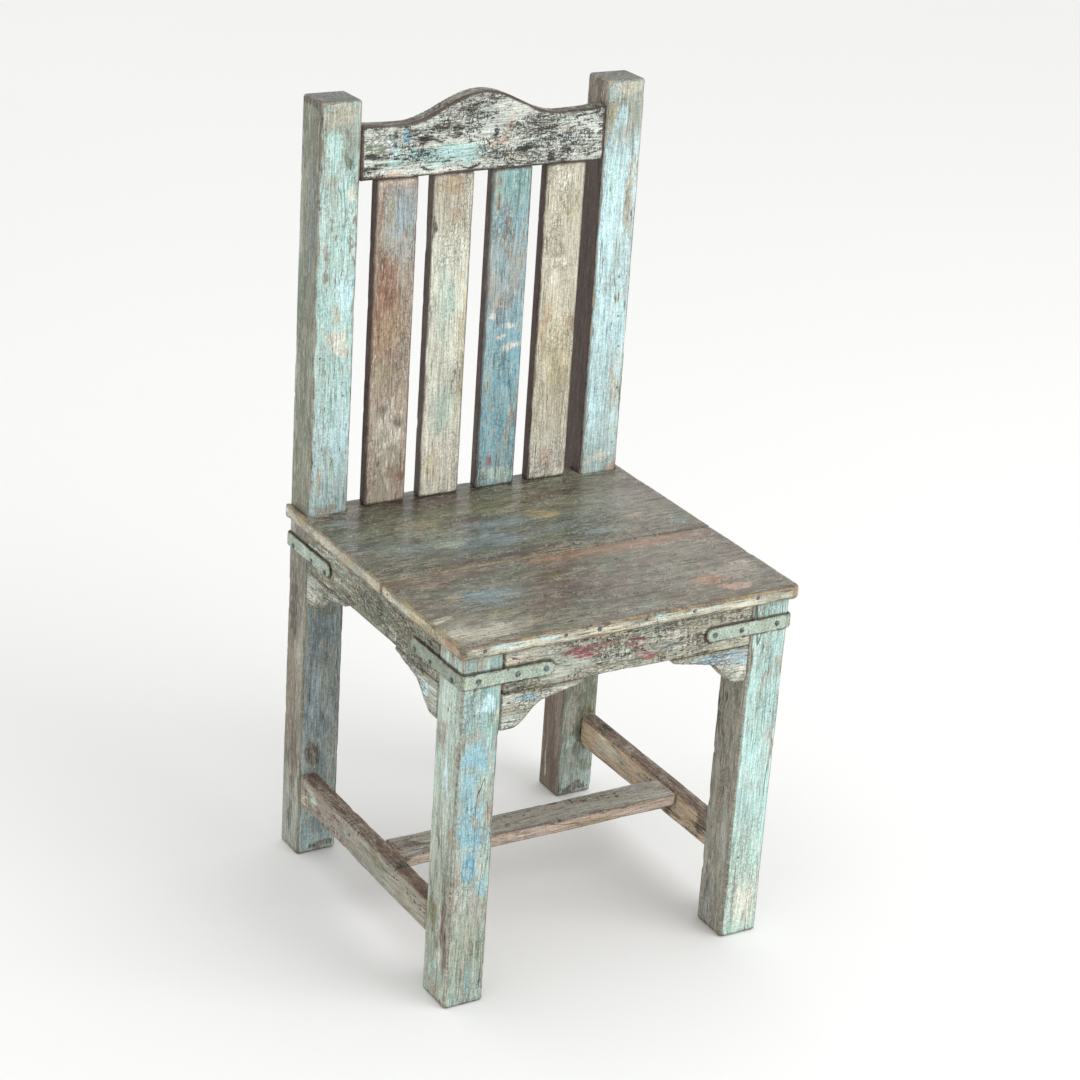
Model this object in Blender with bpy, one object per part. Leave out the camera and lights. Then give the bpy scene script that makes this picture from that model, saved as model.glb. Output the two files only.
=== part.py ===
"""Side chair of reclaimed, painted timber, 0.965 m high.

Two back posts and two front legs are joined by aprons, a crest rail, four slats and an H of stretchers.
Every rail has stub tenons that sit in mortises. Ogee brackets fill the corners under the aprons, and iron
straps wrap the corners of the frame.
Frame of reference: metres, +Z up, the front faces -Y, +X is the right hand of someone looking at the front,
and the origin is on the floor under the middle of the chair.
"""

import math

import bmesh
import bpy
from mathutils import Matrix, Vector

# Whole chair
HEIGHT = 0.965
FRAME_WIDTH = 0.4335
FRAME_DEPTH = 0.4375
GAP = 0.0003

# Posts and legs
POST_WIDTH = 0.0535
POST_DEPTH = 0.048
LEG_WIDTH = 0.0515
LEG_DEPTH = 0.0545
ARRIS = 0.0035
ARRIS_SEGMENTS = 3
END_WEAR = 0.0026

# Seat
SEAT_TOP = 0.463
SEAT_THICK = 0.017
SEAT_SIDE_OVERHANG = 0.0075
SEAT_FRONT_OVERHANG = 0.0085
SEAM_FROM_BACK = 0.254
SEAT_BACK_INSET = 0.020
SEAT_EAR_INSET = 0.0015
SEAT_FRONT_WEAR = 0.003
SEAT_BACK_WEAR = 0.0018
SEAT_CORNER_WEAR = 0.007
SEAT_CORNER_BULGE = 0.3

# Crest rail
CREST_BOTTOM = 0.869
CREST_SHOULDER = 0.9325
CREST_HUMP = 0.0325
CREST_HUMP_HALF = 0.106
CREST_HUMP_SHIFT = -0.005
CREST_END_RISE = 0.0035
CREST_THICK = 0.020
CREST_EDGE_WEAR = 0.0016
CREST_STEPS = 44

# Slats
SLAT_WIDTH = 0.0545
SLAT_THICK = 0.015
SLAT_CENTRES = (-0.1125, -0.0383, 0.0402, 0.1145)
SLAT_TENON_THICK = 0.007
SLAT_EDGE_WEAR = 0.001

# Aprons and brackets
APRON_BOTTOM = 0.393
APRON_THICK = 0.020
APRON_EDGE_WEAR = 0.0012
BRACKET_LENGTH = 0.106
BRACKET_DEPTH = 0.046
BRACKET_THICK = 0.019
BRACKET_INSET = 0.0006
BRACKET_EDGE_WEAR = 0.0012

# Stretchers
STRETCHER_TOP = 0.114
STRETCHER_HEIGHT = 0.040
STRETCHER_WIDTH = 0.0225
STRETCHER_INSET = 0.0012
CROSS_DEPTH = 0.047
CROSS_THICK = 0.0175
CROSS_FRONT = 0.157
CROSS_TENON_THICK = 0.007
RAIL_EDGE_WEAR = 0.0022

# Tenons
TENON_LENGTH = 0.021
TENON_THICK = 0.008
TENON_SHOULDER = 0.006
STUB_LENGTH = 0.009

# Iron straps and nails
STRAP_MIDDLE = 0.417
STRAP_WIDTH = 0.0168
STRAP_THICK = 0.003
STRAP_ARM = 0.116
STRAP_END_STEPS = 7
STRAP_TIP_SHARE = 0.35
STRAP_CORNER_STEPS = 5
NAIL_DISTANCES = (0.0185, 0.068, 0.1045)
NAIL_HEAD_RADIUS = 0.0034
NAIL_HEAD_RISE = 0.0015
NAIL_SHANK_RADIUS = 0.0014
NAIL_LENGTH = 0.0115
NAIL_HOLE_ROOM = 0.0005
NAIL_SIDES = 10
SIDE_NAIL_DROP = 0.004

# Outer faces of the frame. The seat reaches further forward than the nails reach back, so the frame sits
# a little behind the origin, which is under the middle of the whole chair.
BACK_REACH = GAP + STRAP_THICK + GAP + NAIL_HEAD_RISE
FRAME_SHIFT = (SEAT_FRONT_OVERHANG - BACK_REACH) / 2
X_OUT = FRAME_WIDTH / 2
Y_FRONT = FRAME_SHIFT - FRAME_DEPTH / 2
Y_BACK = FRAME_SHIFT + FRAME_DEPTH / 2
POST_FRONT = Y_BACK - POST_DEPTH
LEG_BACK = Y_FRONT + LEG_DEPTH
POST_INNER = X_OUT - POST_WIDTH
LEG_INNER = X_OUT - LEG_WIDTH
SEAT_BOTTOM = SEAT_TOP - SEAT_THICK
SEAM = Y_BACK - SEAM_FROM_BACK
SLAT_FRONT = POST_FRONT + (CREST_THICK - SLAT_THICK) / 2

COLOURS = {
    "mint_paint": ((0.56, 0.66, 0.60, 1.0), 0.62, 0.0),
    "sky_paint": ((0.45, 0.67, 0.70, 1.0), 0.58, 0.0),
    "teal_paint": ((0.27, 0.43, 0.49, 1.0), 0.58, 0.0),
    "cream_paint": ((0.64, 0.62, 0.50, 1.0), 0.62, 0.0),
    "taupe_wood": ((0.40, 0.34, 0.29, 1.0), 0.70, 0.0),
    "seat_wood": ((0.30, 0.28, 0.23, 1.0), 0.42, 0.0),
    "bare_wood": ((0.27, 0.21, 0.17, 1.0), 0.72, 0.0),
    "painted_iron": ((0.36, 0.44, 0.40, 1.0), 0.50, 0.6),
    "nail_iron": ((0.12, 0.12, 0.11, 1.0), 0.55, 0.8),
}


def clear_scene():
    for obj in list(bpy.data.objects):
        bpy.data.objects.remove(obj, do_unlink=True)


def material(name):
    """The Principled material of this name, made once."""
    found = bpy.data.materials.get(name)
    if found:
        return found
    colour, roughness, metallic = COLOURS[name]
    made = bpy.data.materials.new(name)
    made.use_nodes = True
    shader = made.node_tree.nodes["Principled BSDF"]
    shader.inputs["Base Color"].default_value = colour
    shader.inputs["Roughness"].default_value = roughness
    shader.inputs["Metallic"].default_value = metallic
    made.diffuse_color = colour
    return made


def add_object(name, mesh_builder, finish=None):
    """A new object from a bmesh, with its faces turned outwards."""
    bmesh.ops.recalc_face_normals(mesh_builder, faces=mesh_builder.faces)
    mesh = bpy.data.meshes.new(name)
    mesh_builder.to_mesh(mesh)
    mesh_builder.free()
    obj = bpy.data.objects.new(name, mesh)
    bpy.context.scene.collection.objects.link(obj)
    if finish:
        mesh.materials.append(material(finish))
    return obj


def box(name, low, high, finish=None):
    """A box between two corners, with its origin at its middle."""
    low = Vector(low)
    high = Vector(high)
    builder = bmesh.new()
    bmesh.ops.create_cube(builder, size=1.0)
    bmesh.ops.scale(builder, vec=high - low, verts=builder.verts)
    obj = add_object(name, builder, finish)
    obj.location = (low + high) / 2
    return obj


def extruded(name, outline, along, finish=None):
    """A prism: a closed outline of points, carried along a vector."""
    builder = bmesh.new()
    face = builder.faces.new([builder.verts.new(point) for point in outline])
    swept = bmesh.ops.extrude_face_region(builder, geom=[face])
    moved = [item for item in swept["geom"] if isinstance(item, bmesh.types.BMVert)]
    bmesh.ops.translate(builder, vec=along, verts=moved)
    return add_object(name, builder, finish)


def wear(obj, width, segments=2, angle=35.0):
    """Rounds the sharp edges, as handling and weather do."""
    bevel = obj.modifiers.new("worn_edges", "BEVEL")
    bevel.width = width
    bevel.segments = segments
    bevel.limit_method = "ANGLE"
    bevel.angle_limit = math.radians(angle)
    bevel.use_clamp_overlap = True


def cut(obj, cutter):
    """Takes the cutter's space out of the object. The cutter stays in the scene as a guide."""
    cutter.hide_render = True
    cutter.display_type = "WIRE"
    boolean = obj.modifiers.new("cut_" + cutter.name, "BOOLEAN")
    boolean.operation = "DIFFERENCE"
    boolean.object = cutter


def join(obj, addition):
    """Makes the addition, such as a tenon, part of the same piece of wood."""
    addition.hide_render = True
    addition.display_type = "WIRE"
    boolean = obj.modifiers.new("join_" + addition.name, "BOOLEAN")
    boolean.operation = "UNION"
    boolean.object = addition


def mortise(obj, name, low, high):
    """A pocket that leaves the gap all round a tenon with these corners."""
    room = Vector((GAP, GAP, GAP))
    cut(obj, box(name, Vector(low) - room, Vector(high) + room))


def tenoned(rail, name, low, high, hosts):
    """Adds one bar through a rail, whose ends are its tenons, and cuts their mortises in the hosts."""
    join(rail, box(name, low, high))
    for host in hosts:
        mortise(host, f"mortise_{name}_{host.name}", low, high)


def side_name(sign):
    return "right" if sign > 0 else "left"


def upright(name, low, high, foot_only, finish):
    """A post or leg: a square baulk with worn arrises and a worn foot."""
    obj = box(name, low, high, finish)
    corner = obj.modifiers.new("arrises", "BEVEL")
    corner.width = ARRIS
    corner.segments = ARRIS_SEGMENTS
    corner.limit_method = "WEIGHT"
    weights = obj.data.attributes.new("bevel_weight_edge", "FLOAT", "EDGE")
    half = (high[2] - low[2]) / 2
    for edge in obj.data.edges:
        ends = [obj.data.vertices[index].co.z for index in edge.vertices]
        upright_edge = abs(ends[0] - ends[1]) > half
        weights.data[edge.index].value = 1.0 if upright_edge else 0.0
    ends_wear = obj.modifiers.new("end_wear", "BEVEL")
    ends_wear.width = END_WEAR
    ends_wear.segments = 2
    ends_wear.limit_method = "ANGLE"
    ends_wear.angle_limit = math.radians(60)
    ends_wear.use_clamp_overlap = True
    if foot_only:
        group = obj.vertex_groups.new(name="foot")
        foot = [vertex.index for vertex in obj.data.vertices if vertex.co.z < 0]
        group.add(foot, 1.0, "REPLACE")
        ends_wear.limit_method = "VGROUP"
        ends_wear.vertex_group = "foot"
    return obj


def back_posts():
    """The two posts that run from the floor to above the crest."""
    made = {}
    for sign in (-1, 1):
        edges = sorted((sign * X_OUT, sign * POST_INNER))
        made[sign] = upright(
            "back_post_" + side_name(sign),
            (edges[0], POST_FRONT, 0.0),
            (edges[1], Y_BACK, HEIGHT),
            False,
            "sky_paint",
        )
    return made


def front_legs():
    """The two legs that end under the seat."""
    made = {}
    for sign in (-1, 1):
        edges = sorted((sign * X_OUT, sign * LEG_INNER))
        made[sign] = upright(
            "leg_front_" + side_name(sign),
            (edges[0], Y_FRONT, 0.0),
            (edges[1], LEG_BACK, SEAT_BOTTOM - GAP),
            True,
            "sky_paint",
        )
    return made


def crest_height(x):
    """Height of the crest's top edge: level shoulders that rise to an ogee hump."""
    reach = abs(x - CREST_HUMP_SHIFT) / CREST_HUMP_HALF
    if reach < 1.0:
        return CREST_SHOULDER + CREST_HUMP * 0.5 * (1.0 + math.cos(math.pi * reach))
    past = (reach - 1.0) * CREST_HUMP_HALF
    shoulder = POST_INNER - CREST_HUMP_HALF
    return CREST_SHOULDER + CREST_END_RISE * (past / shoulder) ** 2


def crest_rail(posts):
    """The shaped top board, tenoned into both posts."""
    end = POST_INNER - GAP
    outline = [Vector((-end, POST_FRONT, CREST_BOTTOM)), Vector((end, POST_FRONT, CREST_BOTTOM))]
    for step in range(CREST_STEPS + 1):
        x = end - 2 * end * step / CREST_STEPS
        outline.append(Vector((x, POST_FRONT, crest_height(x))))
    crest = extruded("crest_rail", outline, Vector((0, CREST_THICK, 0)), "mint_paint")
    wear(crest, CREST_EDGE_WEAR)
    middle = POST_FRONT + CREST_THICK / 2
    reach = POST_INNER + TENON_LENGTH
    tenoned(
        crest,
        "crest_tenons",
        (-reach, middle - TENON_THICK / 2, CREST_BOTTOM + TENON_SHOULDER),
        (reach, middle + TENON_THICK / 2, CREST_SHOULDER - 2 * TENON_SHOULDER),
        posts.values(),
    )
    return crest


def slats(crest, seat):
    """Four flat slats, stub-tenoned into the crest above and the seat below."""
    finishes = ("taupe_wood", "cream_paint", "teal_paint", "cream_paint")
    for number, (centre, finish) in enumerate(zip(SLAT_CENTRES, finishes), 1):
        half = SLAT_WIDTH / 2
        slat = box(
            f"slat_{number}",
            (centre - half, SLAT_FRONT, SEAT_TOP + GAP),
            (centre + half, SLAT_FRONT + SLAT_THICK, CREST_BOTTOM - GAP),
            finish,
        )
        wear(slat, SLAT_EDGE_WEAR)
        inner = half - TENON_SHOULDER
        middle = SLAT_FRONT + SLAT_THICK / 2
        tenoned(
            slat,
            f"slat_{number}_tenons",
            (centre - inner, middle - SLAT_TENON_THICK / 2, SEAT_TOP - STUB_LENGTH),
            (centre + inner, middle + SLAT_TENON_THICK / 2, CREST_BOTTOM + STUB_LENGTH),
            (crest, seat),
        )


def seat_front_plank():
    """The front plank, with rounded outer corners."""
    half = X_OUT + SEAT_SIDE_OVERHANG
    front = Y_FRONT - SEAT_FRONT_OVERHANG
    back = SEAM - GAP / 2
    clip = SEAT_CORNER_WEAR
    bulge = clip * SEAT_CORNER_BULGE
    outline = [
        (-half, back),
        (-half, front + clip),
        (-half + bulge, front + bulge),
        (-half + clip, front),
        (half - clip, front),
        (half - bulge, front + bulge),
        (half, front + clip),
        (half, back),
    ]
    points = [Vector((x, y, SEAT_BOTTOM)) for x, y in outline]
    plank = extruded("seat_plank_front", points, Vector((0, 0, SEAT_THICK)), "seat_wood")
    wear(plank, SEAT_FRONT_WEAR, 2, 60.0)
    return plank


def seat_back_plank():
    """The back plank, cut out round both posts, with a narrow ear outside each."""
    half = X_OUT + SEAT_SIDE_OVERHANG
    front = SEAM + GAP / 2
    back = Y_BACK - SEAT_BACK_INSET
    ear_back = Y_BACK - SEAT_EAR_INSET
    notch_front = POST_FRONT - GAP
    notch_inner = POST_INNER - GAP
    notch_outer = X_OUT + GAP
    right = [
        (half, front),
        (half, ear_back),
        (notch_outer, ear_back),
        (notch_outer, notch_front),
        (notch_inner, notch_front),
        (notch_inner, back),
    ]
    left = [(-x, y) for x, y in reversed(right)]
    points = [Vector((x, y, SEAT_BOTTOM)) for x, y in right + left]
    plank = extruded("seat_plank_back", points, Vector((0, 0, SEAT_THICK)), "seat_wood")
    wear(plank, SEAT_BACK_WEAR, 2, 60.0)
    return plank


def apron(name, low, high, tenon_axis, hosts):
    """A rail under the seat with a tenon at each end, centred in its thickness."""
    rail = box(name, low, high, "mint_paint")
    wear(rail, APRON_EDGE_WEAR)
    thin_axis = 1 - tenon_axis
    tenon_low = [0.0, 0.0, low[2] + TENON_SHOULDER]
    tenon_high = [0.0, 0.0, high[2] - TENON_SHOULDER]
    tenon_low[tenon_axis] = low[tenon_axis] + GAP - TENON_LENGTH
    tenon_high[tenon_axis] = high[tenon_axis] - GAP + TENON_LENGTH
    middle = (low[thin_axis] + high[thin_axis]) / 2
    tenon_low[thin_axis] = middle - TENON_THICK / 2
    tenon_high[thin_axis] = middle + TENON_THICK / 2
    tenoned(rail, name + "_tenons", tenon_low, tenon_high, hosts)
    return rail


def aprons(posts, legs):
    """Front, back and side rails, flush with the outer faces of the legs."""
    low_z = APRON_BOTTOM
    high_z = SEAT_BOTTOM - GAP
    made = {}
    made["front"] = apron(
        "apron_front",
        (-LEG_INNER + GAP, Y_FRONT + GAP, low_z),
        (LEG_INNER - GAP, Y_FRONT + APRON_THICK, high_z),
        0,
        legs.values(),
    )
    made["back"] = apron(
        "apron_back",
        (-POST_INNER + GAP, Y_BACK - APRON_THICK, low_z),
        (POST_INNER - GAP, Y_BACK - GAP, high_z),
        0,
        posts.values(),
    )
    for sign in (-1, 1):
        across = sorted((sign * (X_OUT - GAP), sign * (X_OUT - APRON_THICK)))
        made[side_name(sign)] = apron(
            "apron_" + side_name(sign),
            (across[0], LEG_BACK + GAP, low_z),
            (across[1], POST_FRONT - GAP, high_z),
            1,
            (legs[sign], posts[sign]),
        )
    return made


def bracket_outline():
    """The ogee in its own plane, from the leg outwards: (distance from the leg, drop below the apron)."""
    foot = 0.014
    knee = 0.058
    knee_drop = 0.0155
    nose = 0.008
    nose_height = 0.0072
    points = [(0.0, 0.0), (0.0, -BRACKET_DEPTH), (foot, -BRACKET_DEPTH)]
    curve_steps = 8
    for step in range(1, curve_steps + 1):
        share = step / curve_steps
        rise = 0.5 * (1.0 - math.cos(math.pi * share))
        points.append((foot + (knee - foot) * share, -BRACKET_DEPTH + (BRACKET_DEPTH - knee_drop) * rise))
    nose_steps = 4
    for step in range(nose_steps + 1):
        turn = math.pi / 2 * step / nose_steps
        across = BRACKET_LENGTH - nose + nose * math.sin(turn)
        points.append((across, -nose_height * math.cos(turn)))
    return points


def bracket(name, corner, run, thin):
    """One corner bracket. corner is where leg and apron meet, run points from the leg along the apron,
    and thin is the way through the bracket's thickness."""
    points = [
        Vector(corner) + Vector(run) * (GAP + across) + Vector((0, 0, drop - GAP))
        for across, drop in bracket_outline()
    ]
    obj = extruded(name, points, Vector(thin) * BRACKET_THICK, "mint_paint")
    wear(obj, BRACKET_EDGE_WEAR, 1)
    return obj


def brackets():
    """Eight ogee brackets, two under each apron."""
    for sign in (-1, 1):
        side = side_name(sign)
        out_x = sign * (X_OUT - BRACKET_INSET)
        bracket(
            f"bracket_front_{side}",
            (sign * LEG_INNER, Y_FRONT + BRACKET_INSET, APRON_BOTTOM),
            (-sign, 0, 0),
            (0, 1, 0),
        )
        bracket(
            f"bracket_back_{side}",
            (sign * POST_INNER, Y_BACK - BRACKET_INSET, APRON_BOTTOM),
            (-sign, 0, 0),
            (0, -1, 0),
        )
        bracket(
            f"bracket_{side}_front",
            (out_x, LEG_BACK, APRON_BOTTOM),
            (0, 1, 0),
            (-sign, 0, 0),
        )
        bracket(
            f"bracket_{side}_back",
            (out_x, POST_FRONT, APRON_BOTTOM),
            (0, -1, 0),
            (-sign, 0, 0),
        )


def stretchers(posts, legs):
    """Two side stretchers between the legs and a flat one across, with its top level with theirs."""
    bottom = STRETCHER_TOP - STRETCHER_HEIGHT
    sides = []
    for sign in (-1, 1):
        outer = X_OUT - STRETCHER_INSET
        across = sorted((sign * outer, sign * (outer - STRETCHER_WIDTH)))
        rail = box(
            "side_stretcher_" + side_name(sign),
            (across[0], LEG_BACK + GAP, bottom),
            (across[1], POST_FRONT - GAP, STRETCHER_TOP),
            "bare_wood",
        )
        wear(rail, RAIL_EDGE_WEAR)
        middle = (across[0] + across[1]) / 2
        tenoned(
            rail,
            rail.name + "_tenons",
            (middle - TENON_THICK / 2, LEG_BACK - TENON_LENGTH, bottom + TENON_SHOULDER),
            (middle + TENON_THICK / 2, POST_FRONT + TENON_LENGTH, STRETCHER_TOP - TENON_SHOULDER),
            (legs[sign], posts[sign]),
        )
        sides.append(rail)
    reach = X_OUT - STRETCHER_INSET - STRETCHER_WIDTH - GAP
    front = Y_FRONT + CROSS_FRONT
    cross = box(
        "cross_stretcher",
        (-reach, front, STRETCHER_TOP - CROSS_THICK),
        (reach, front + CROSS_DEPTH, STRETCHER_TOP),
        "bare_wood",
    )
    wear(cross, RAIL_EDGE_WEAR)
    middle = STRETCHER_TOP - CROSS_THICK / 2
    tenoned(
        cross,
        "cross_stretcher_tenons",
        (-reach - STUB_LENGTH, front + TENON_SHOULDER, middle - CROSS_TENON_THICK / 2),
        (reach + STUB_LENGTH, front + CROSS_DEPTH - TENON_SHOULDER, middle + CROSS_TENON_THICK / 2),
        sides,
    )


def strap_path():
    """Stations of a strap round one corner at the origin, its arms along +X and +Y outside both faces:
    (outer point, inner point, half height)."""
    inner = ARRIS
    outer = ARRIS + STRAP_THICK
    radius = STRAP_WIDTH / 2
    arm = []
    for step in range(STRAP_END_STEPS + 1):
        turn = math.pi / 2 * (step + STRAP_TIP_SHARE) / (STRAP_END_STEPS + STRAP_TIP_SHARE)
        reach = STRAP_ARM - radius * (1.0 - math.cos(turn))
        arm.append((reach, radius * math.sin(turn)))
    stations = []
    for reach, half in arm:
        stations.append((Vector((reach, -STRAP_THICK, 0)), Vector((reach, 0, 0)), half))
    for step in range(STRAP_CORNER_STEPS + 1):
        turn = math.pi / 2 * step / STRAP_CORNER_STEPS
        way = Vector((-math.sin(turn), -math.cos(turn), 0))
        middle = Vector((ARRIS, ARRIS, 0))
        stations.append((middle + way * outer, middle + way * inner, radius))
    for reach, half in reversed(arm):
        stations.append((Vector((-STRAP_THICK, reach, 0)), Vector((0, reach, 0)), half))
    return stations


def corner_strap(name, sign_x, sign_y, x_face, y_face):
    """A flat iron strap bent round one corner of the frame, with round ends."""
    builder = bmesh.new()
    rows = []
    for outer, inner, half in strap_path():
        row = []
        for point, level in ((outer, half), (outer, -half), (inner, -half), (inner, half)):
            across = x_face - sign_x * (point.x - GAP)
            along = y_face - sign_y * (point.y - GAP)
            row.append(builder.verts.new((across, along, STRAP_MIDDLE + level)))
        rows.append(row)
    for first, second in zip(rows, rows[1:]):
        for index in range(4):
            other = (index + 1) % 4
            builder.faces.new((first[index], first[other], second[other], second[index]))
    builder.faces.new(rows[0])
    builder.faces.new(rows[-1])
    return add_object(name, builder, "painted_iron")


def nail_shape():
    """One clout nail pointing along -Z, with the underside of its head at the origin."""
    builder = bmesh.new()
    profile = [
        (0.0, NAIL_HEAD_RISE),
        (NAIL_HEAD_RADIUS * 0.55, NAIL_HEAD_RISE * 0.82),
        (NAIL_HEAD_RADIUS * 0.9, NAIL_HEAD_RISE * 0.38),
        (NAIL_HEAD_RADIUS, 0.0),
        (NAIL_SHANK_RADIUS, 0.0),
        (NAIL_SHANK_RADIUS, -NAIL_LENGTH * 0.8),
        (0.0, -NAIL_LENGTH),
    ]
    verts = [builder.verts.new((radius, 0.0, level)) for radius, level in profile]
    for first, second in zip(verts, verts[1:]):
        builder.edges.new((first, second))
    bmesh.ops.spin(
        builder,
        geom=builder.verts[:] + builder.edges[:],
        cent=(0, 0, 0),
        axis=(0, 0, 1),
        angle=2 * math.pi,
        steps=NAIL_SIDES,
        use_merge=True,
    )
    bmesh.ops.remove_doubles(builder, verts=builder.verts, dist=0.00001)
    return builder


def nail(name, place, outward, hosts):
    """A nail through the strap into the wood, and the hole that it sits in."""
    turned = Vector((0, 0, 1)).rotation_difference(Vector(outward)).to_matrix().to_4x4()
    obj = add_object(name, nail_shape(), "nail_iron")
    obj.matrix_world = Matrix.Translation(place) @ turned
    obj.data.shade_smooth()
    obj.data.set_sharp_from_angle(angle=math.radians(50))
    builder = bmesh.new()
    depth = NAIL_LENGTH + GAP
    radius = NAIL_SHANK_RADIUS + NAIL_HOLE_ROOM
    bmesh.ops.create_cone(
        builder,
        cap_ends=True,
        segments=8,
        radius1=radius,
        radius2=radius,
        depth=depth,
    )
    bmesh.ops.translate(builder, vec=(0, 0, -depth / 2), verts=builder.verts)
    drill = add_object("hole_" + name, builder)
    drill.matrix_world = Matrix.Translation(Vector(place) + Vector(outward) * GAP) @ turned
    for host in hosts:
        cut(host, drill)


def straps_and_nails(posts, legs, rails):
    """A strap on each corner of the frame, each arm held by three nails."""
    for sign_x in (-1, 1):
        side = side_name(sign_x)
        for sign_y, place, uprights in ((-1, "front", legs), (1, "back", posts)):
            x_face = sign_x * X_OUT
            y_face = Y_FRONT if sign_y < 0 else Y_BACK
            strap = corner_strap(f"corner_strap_{place}_{side}", sign_x, sign_y, x_face, y_face)
            proud = STRAP_THICK + 2 * GAP
            for number, distance in enumerate(NAIL_DISTANCES, 1):
                on_leg = number == 1
                face_host = uprights[sign_x] if on_leg else rails[place]
                side_host = uprights[sign_x] if on_leg else rails[side]
                nail(
                    f"nail_{place}_{side}_face_{number}",
                    (x_face - sign_x * distance, y_face + sign_y * proud, STRAP_MIDDLE),
                    (0, sign_y, 0),
                    (strap, face_host),
                )
                nail(
                    f"nail_{place}_{side}_side_{number}",
                    (x_face + sign_x * proud, y_face - sign_y * distance, STRAP_MIDDLE - SIDE_NAIL_DROP),
                    (sign_x, 0, 0),
                    (strap, side_host),
                )


def build_chair():
    clear_scene()
    posts = back_posts()
    legs = front_legs()
    crest = crest_rail(posts)
    seat_front_plank()
    seat = seat_back_plank()
    slats(crest, seat)
    rails = aprons(posts, legs)
    brackets()
    stretchers(posts, legs)
    straps_and_nails(posts, legs, rails)


build_chair()
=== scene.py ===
"""The look of a reclaimed timber chair: worn wood, many coats of peeling paint, iron straps and nails.

Every timber of the frame is copied, remeshed finely, worn at its arrises, grooved along its grain and chipped
where paint has flaked. The copies carry attributes that say, for each place, which coat lies there, how much
of it is left, how close the arris is and how far dirt and painted shade darken it. The materials read these.
"""

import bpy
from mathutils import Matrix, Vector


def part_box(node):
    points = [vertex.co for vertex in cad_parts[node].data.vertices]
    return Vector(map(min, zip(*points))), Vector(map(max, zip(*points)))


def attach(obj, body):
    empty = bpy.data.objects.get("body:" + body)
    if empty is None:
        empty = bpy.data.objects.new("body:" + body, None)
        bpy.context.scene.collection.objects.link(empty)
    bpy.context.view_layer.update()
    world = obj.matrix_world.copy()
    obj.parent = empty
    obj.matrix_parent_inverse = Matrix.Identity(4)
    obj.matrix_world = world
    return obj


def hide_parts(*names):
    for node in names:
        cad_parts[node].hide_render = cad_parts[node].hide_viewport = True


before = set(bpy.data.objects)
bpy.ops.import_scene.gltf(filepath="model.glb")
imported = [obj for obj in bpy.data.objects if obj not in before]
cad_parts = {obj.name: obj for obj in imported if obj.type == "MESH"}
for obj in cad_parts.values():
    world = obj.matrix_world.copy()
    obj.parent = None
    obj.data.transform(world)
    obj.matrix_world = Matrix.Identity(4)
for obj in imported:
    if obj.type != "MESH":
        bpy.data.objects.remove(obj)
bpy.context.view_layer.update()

import itertools
import math
import random

import bpy
import numpy as np
from mathutils import Matrix, Vector
from mathutils.bvhtree import BVHTree

bl_info = {
    "name": "Peeling Paint Chair",
    "version": (1, 0, 0),
    "blender": (4, 5, 0),
    "location": "3D Viewport > Sidebar > Chair",
    "description": "Dresses a reclaimed timber chair in worn wood and many coats of peeling paint",
    "category": "Object",
}

BODY = "root"
MM = 1000  # millimetres in a metre

# Sizes in metres: vertices nearer than this are merged, painted shade and dirt reach this far from a strap,
# and each unseen face has one stain more for each such area
WELD = 0.00001
IRON_SHADE_REACH = 0.006
STAIN_AREA = 0.0022

# The deepest dent in a strap, the dirt all over it, and how mossy the left faces of the front straps are
STRAP_DENT = 0.0007
STRAP_DIRT = 0.1
STRAP_MOSS = 0.7

# The share of the full wear that a finish takes
WEAR_SHARES = {"slat": 0.45, "post": 0.8, "crest": 0.6}

X, Y, Z = 0, 1, 2

# Each face of a timber: the axis it looks along, its direction, and the two axes that lie in it
FACES = {
    "front": (Y, -1, (X, Z)),
    "back": (Y, 1, (X, Z)),
    "left": (X, -1, (Y, Z)),
    "right": (X, 1, (Y, Z)),
    "top": (Z, 1, (X, Y)),
    "under": (Z, -1, (X, Y)),
}
UNSEEN_FACES = ("back", "right", "under")

# Paint and wood colours, as they look in even light
PALETTE = {
    "aqua": "b4d7d2",
    "ice": "c4e4e8",
    "mint": "bcd2c5",
    "sky": "79b2c8",
    "glacier": "93bfcb",
    "mist": "a6bfba",
    "azure": "84b1bd",
    "teal": "85aeab",
    "steel": "97a9b0",
    "slate": "77858a",
    "frost": "c6cbc2",
    "sage": "95a08d",
    "moss": "6f7b66",
    "lichen": "747665",
    "weather": "9ba297",
    "olive": "77704a",
    "khaki": "a89f80",
    "stone": "bdb8a6",
    "linen": "cbc8b4",
    "chalk": "ccd2ca",
    "cream": "d3d5c5",
    "sand": "cdc3a4",
    "bone": "e0dccd",
    "ochre": "a9935f",
    "tan": "b39c80",
    "wheat": "cdb698",
    "copper": "a37650",
    "clay": "b9957f",
    "blush": "cdb9aa",
    "fawn": "ab9a8a",
    "rust": "94705a",
    "crimson": "8e4650",
    "dust": "9a9084",
    "ash": "aaa9a0",
    "driftwood": "7d7466",
    "loam": "665b4b",
    "bark": "575945",
    "pewter": "7b7b73",
    "graphite": "5f605c",
    "taupe": "857667",
    "walnut": "67534a",
    "umber": "4d4037",
    "maroon": "47332e",
    "soot": "2b2a27",
}

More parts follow.
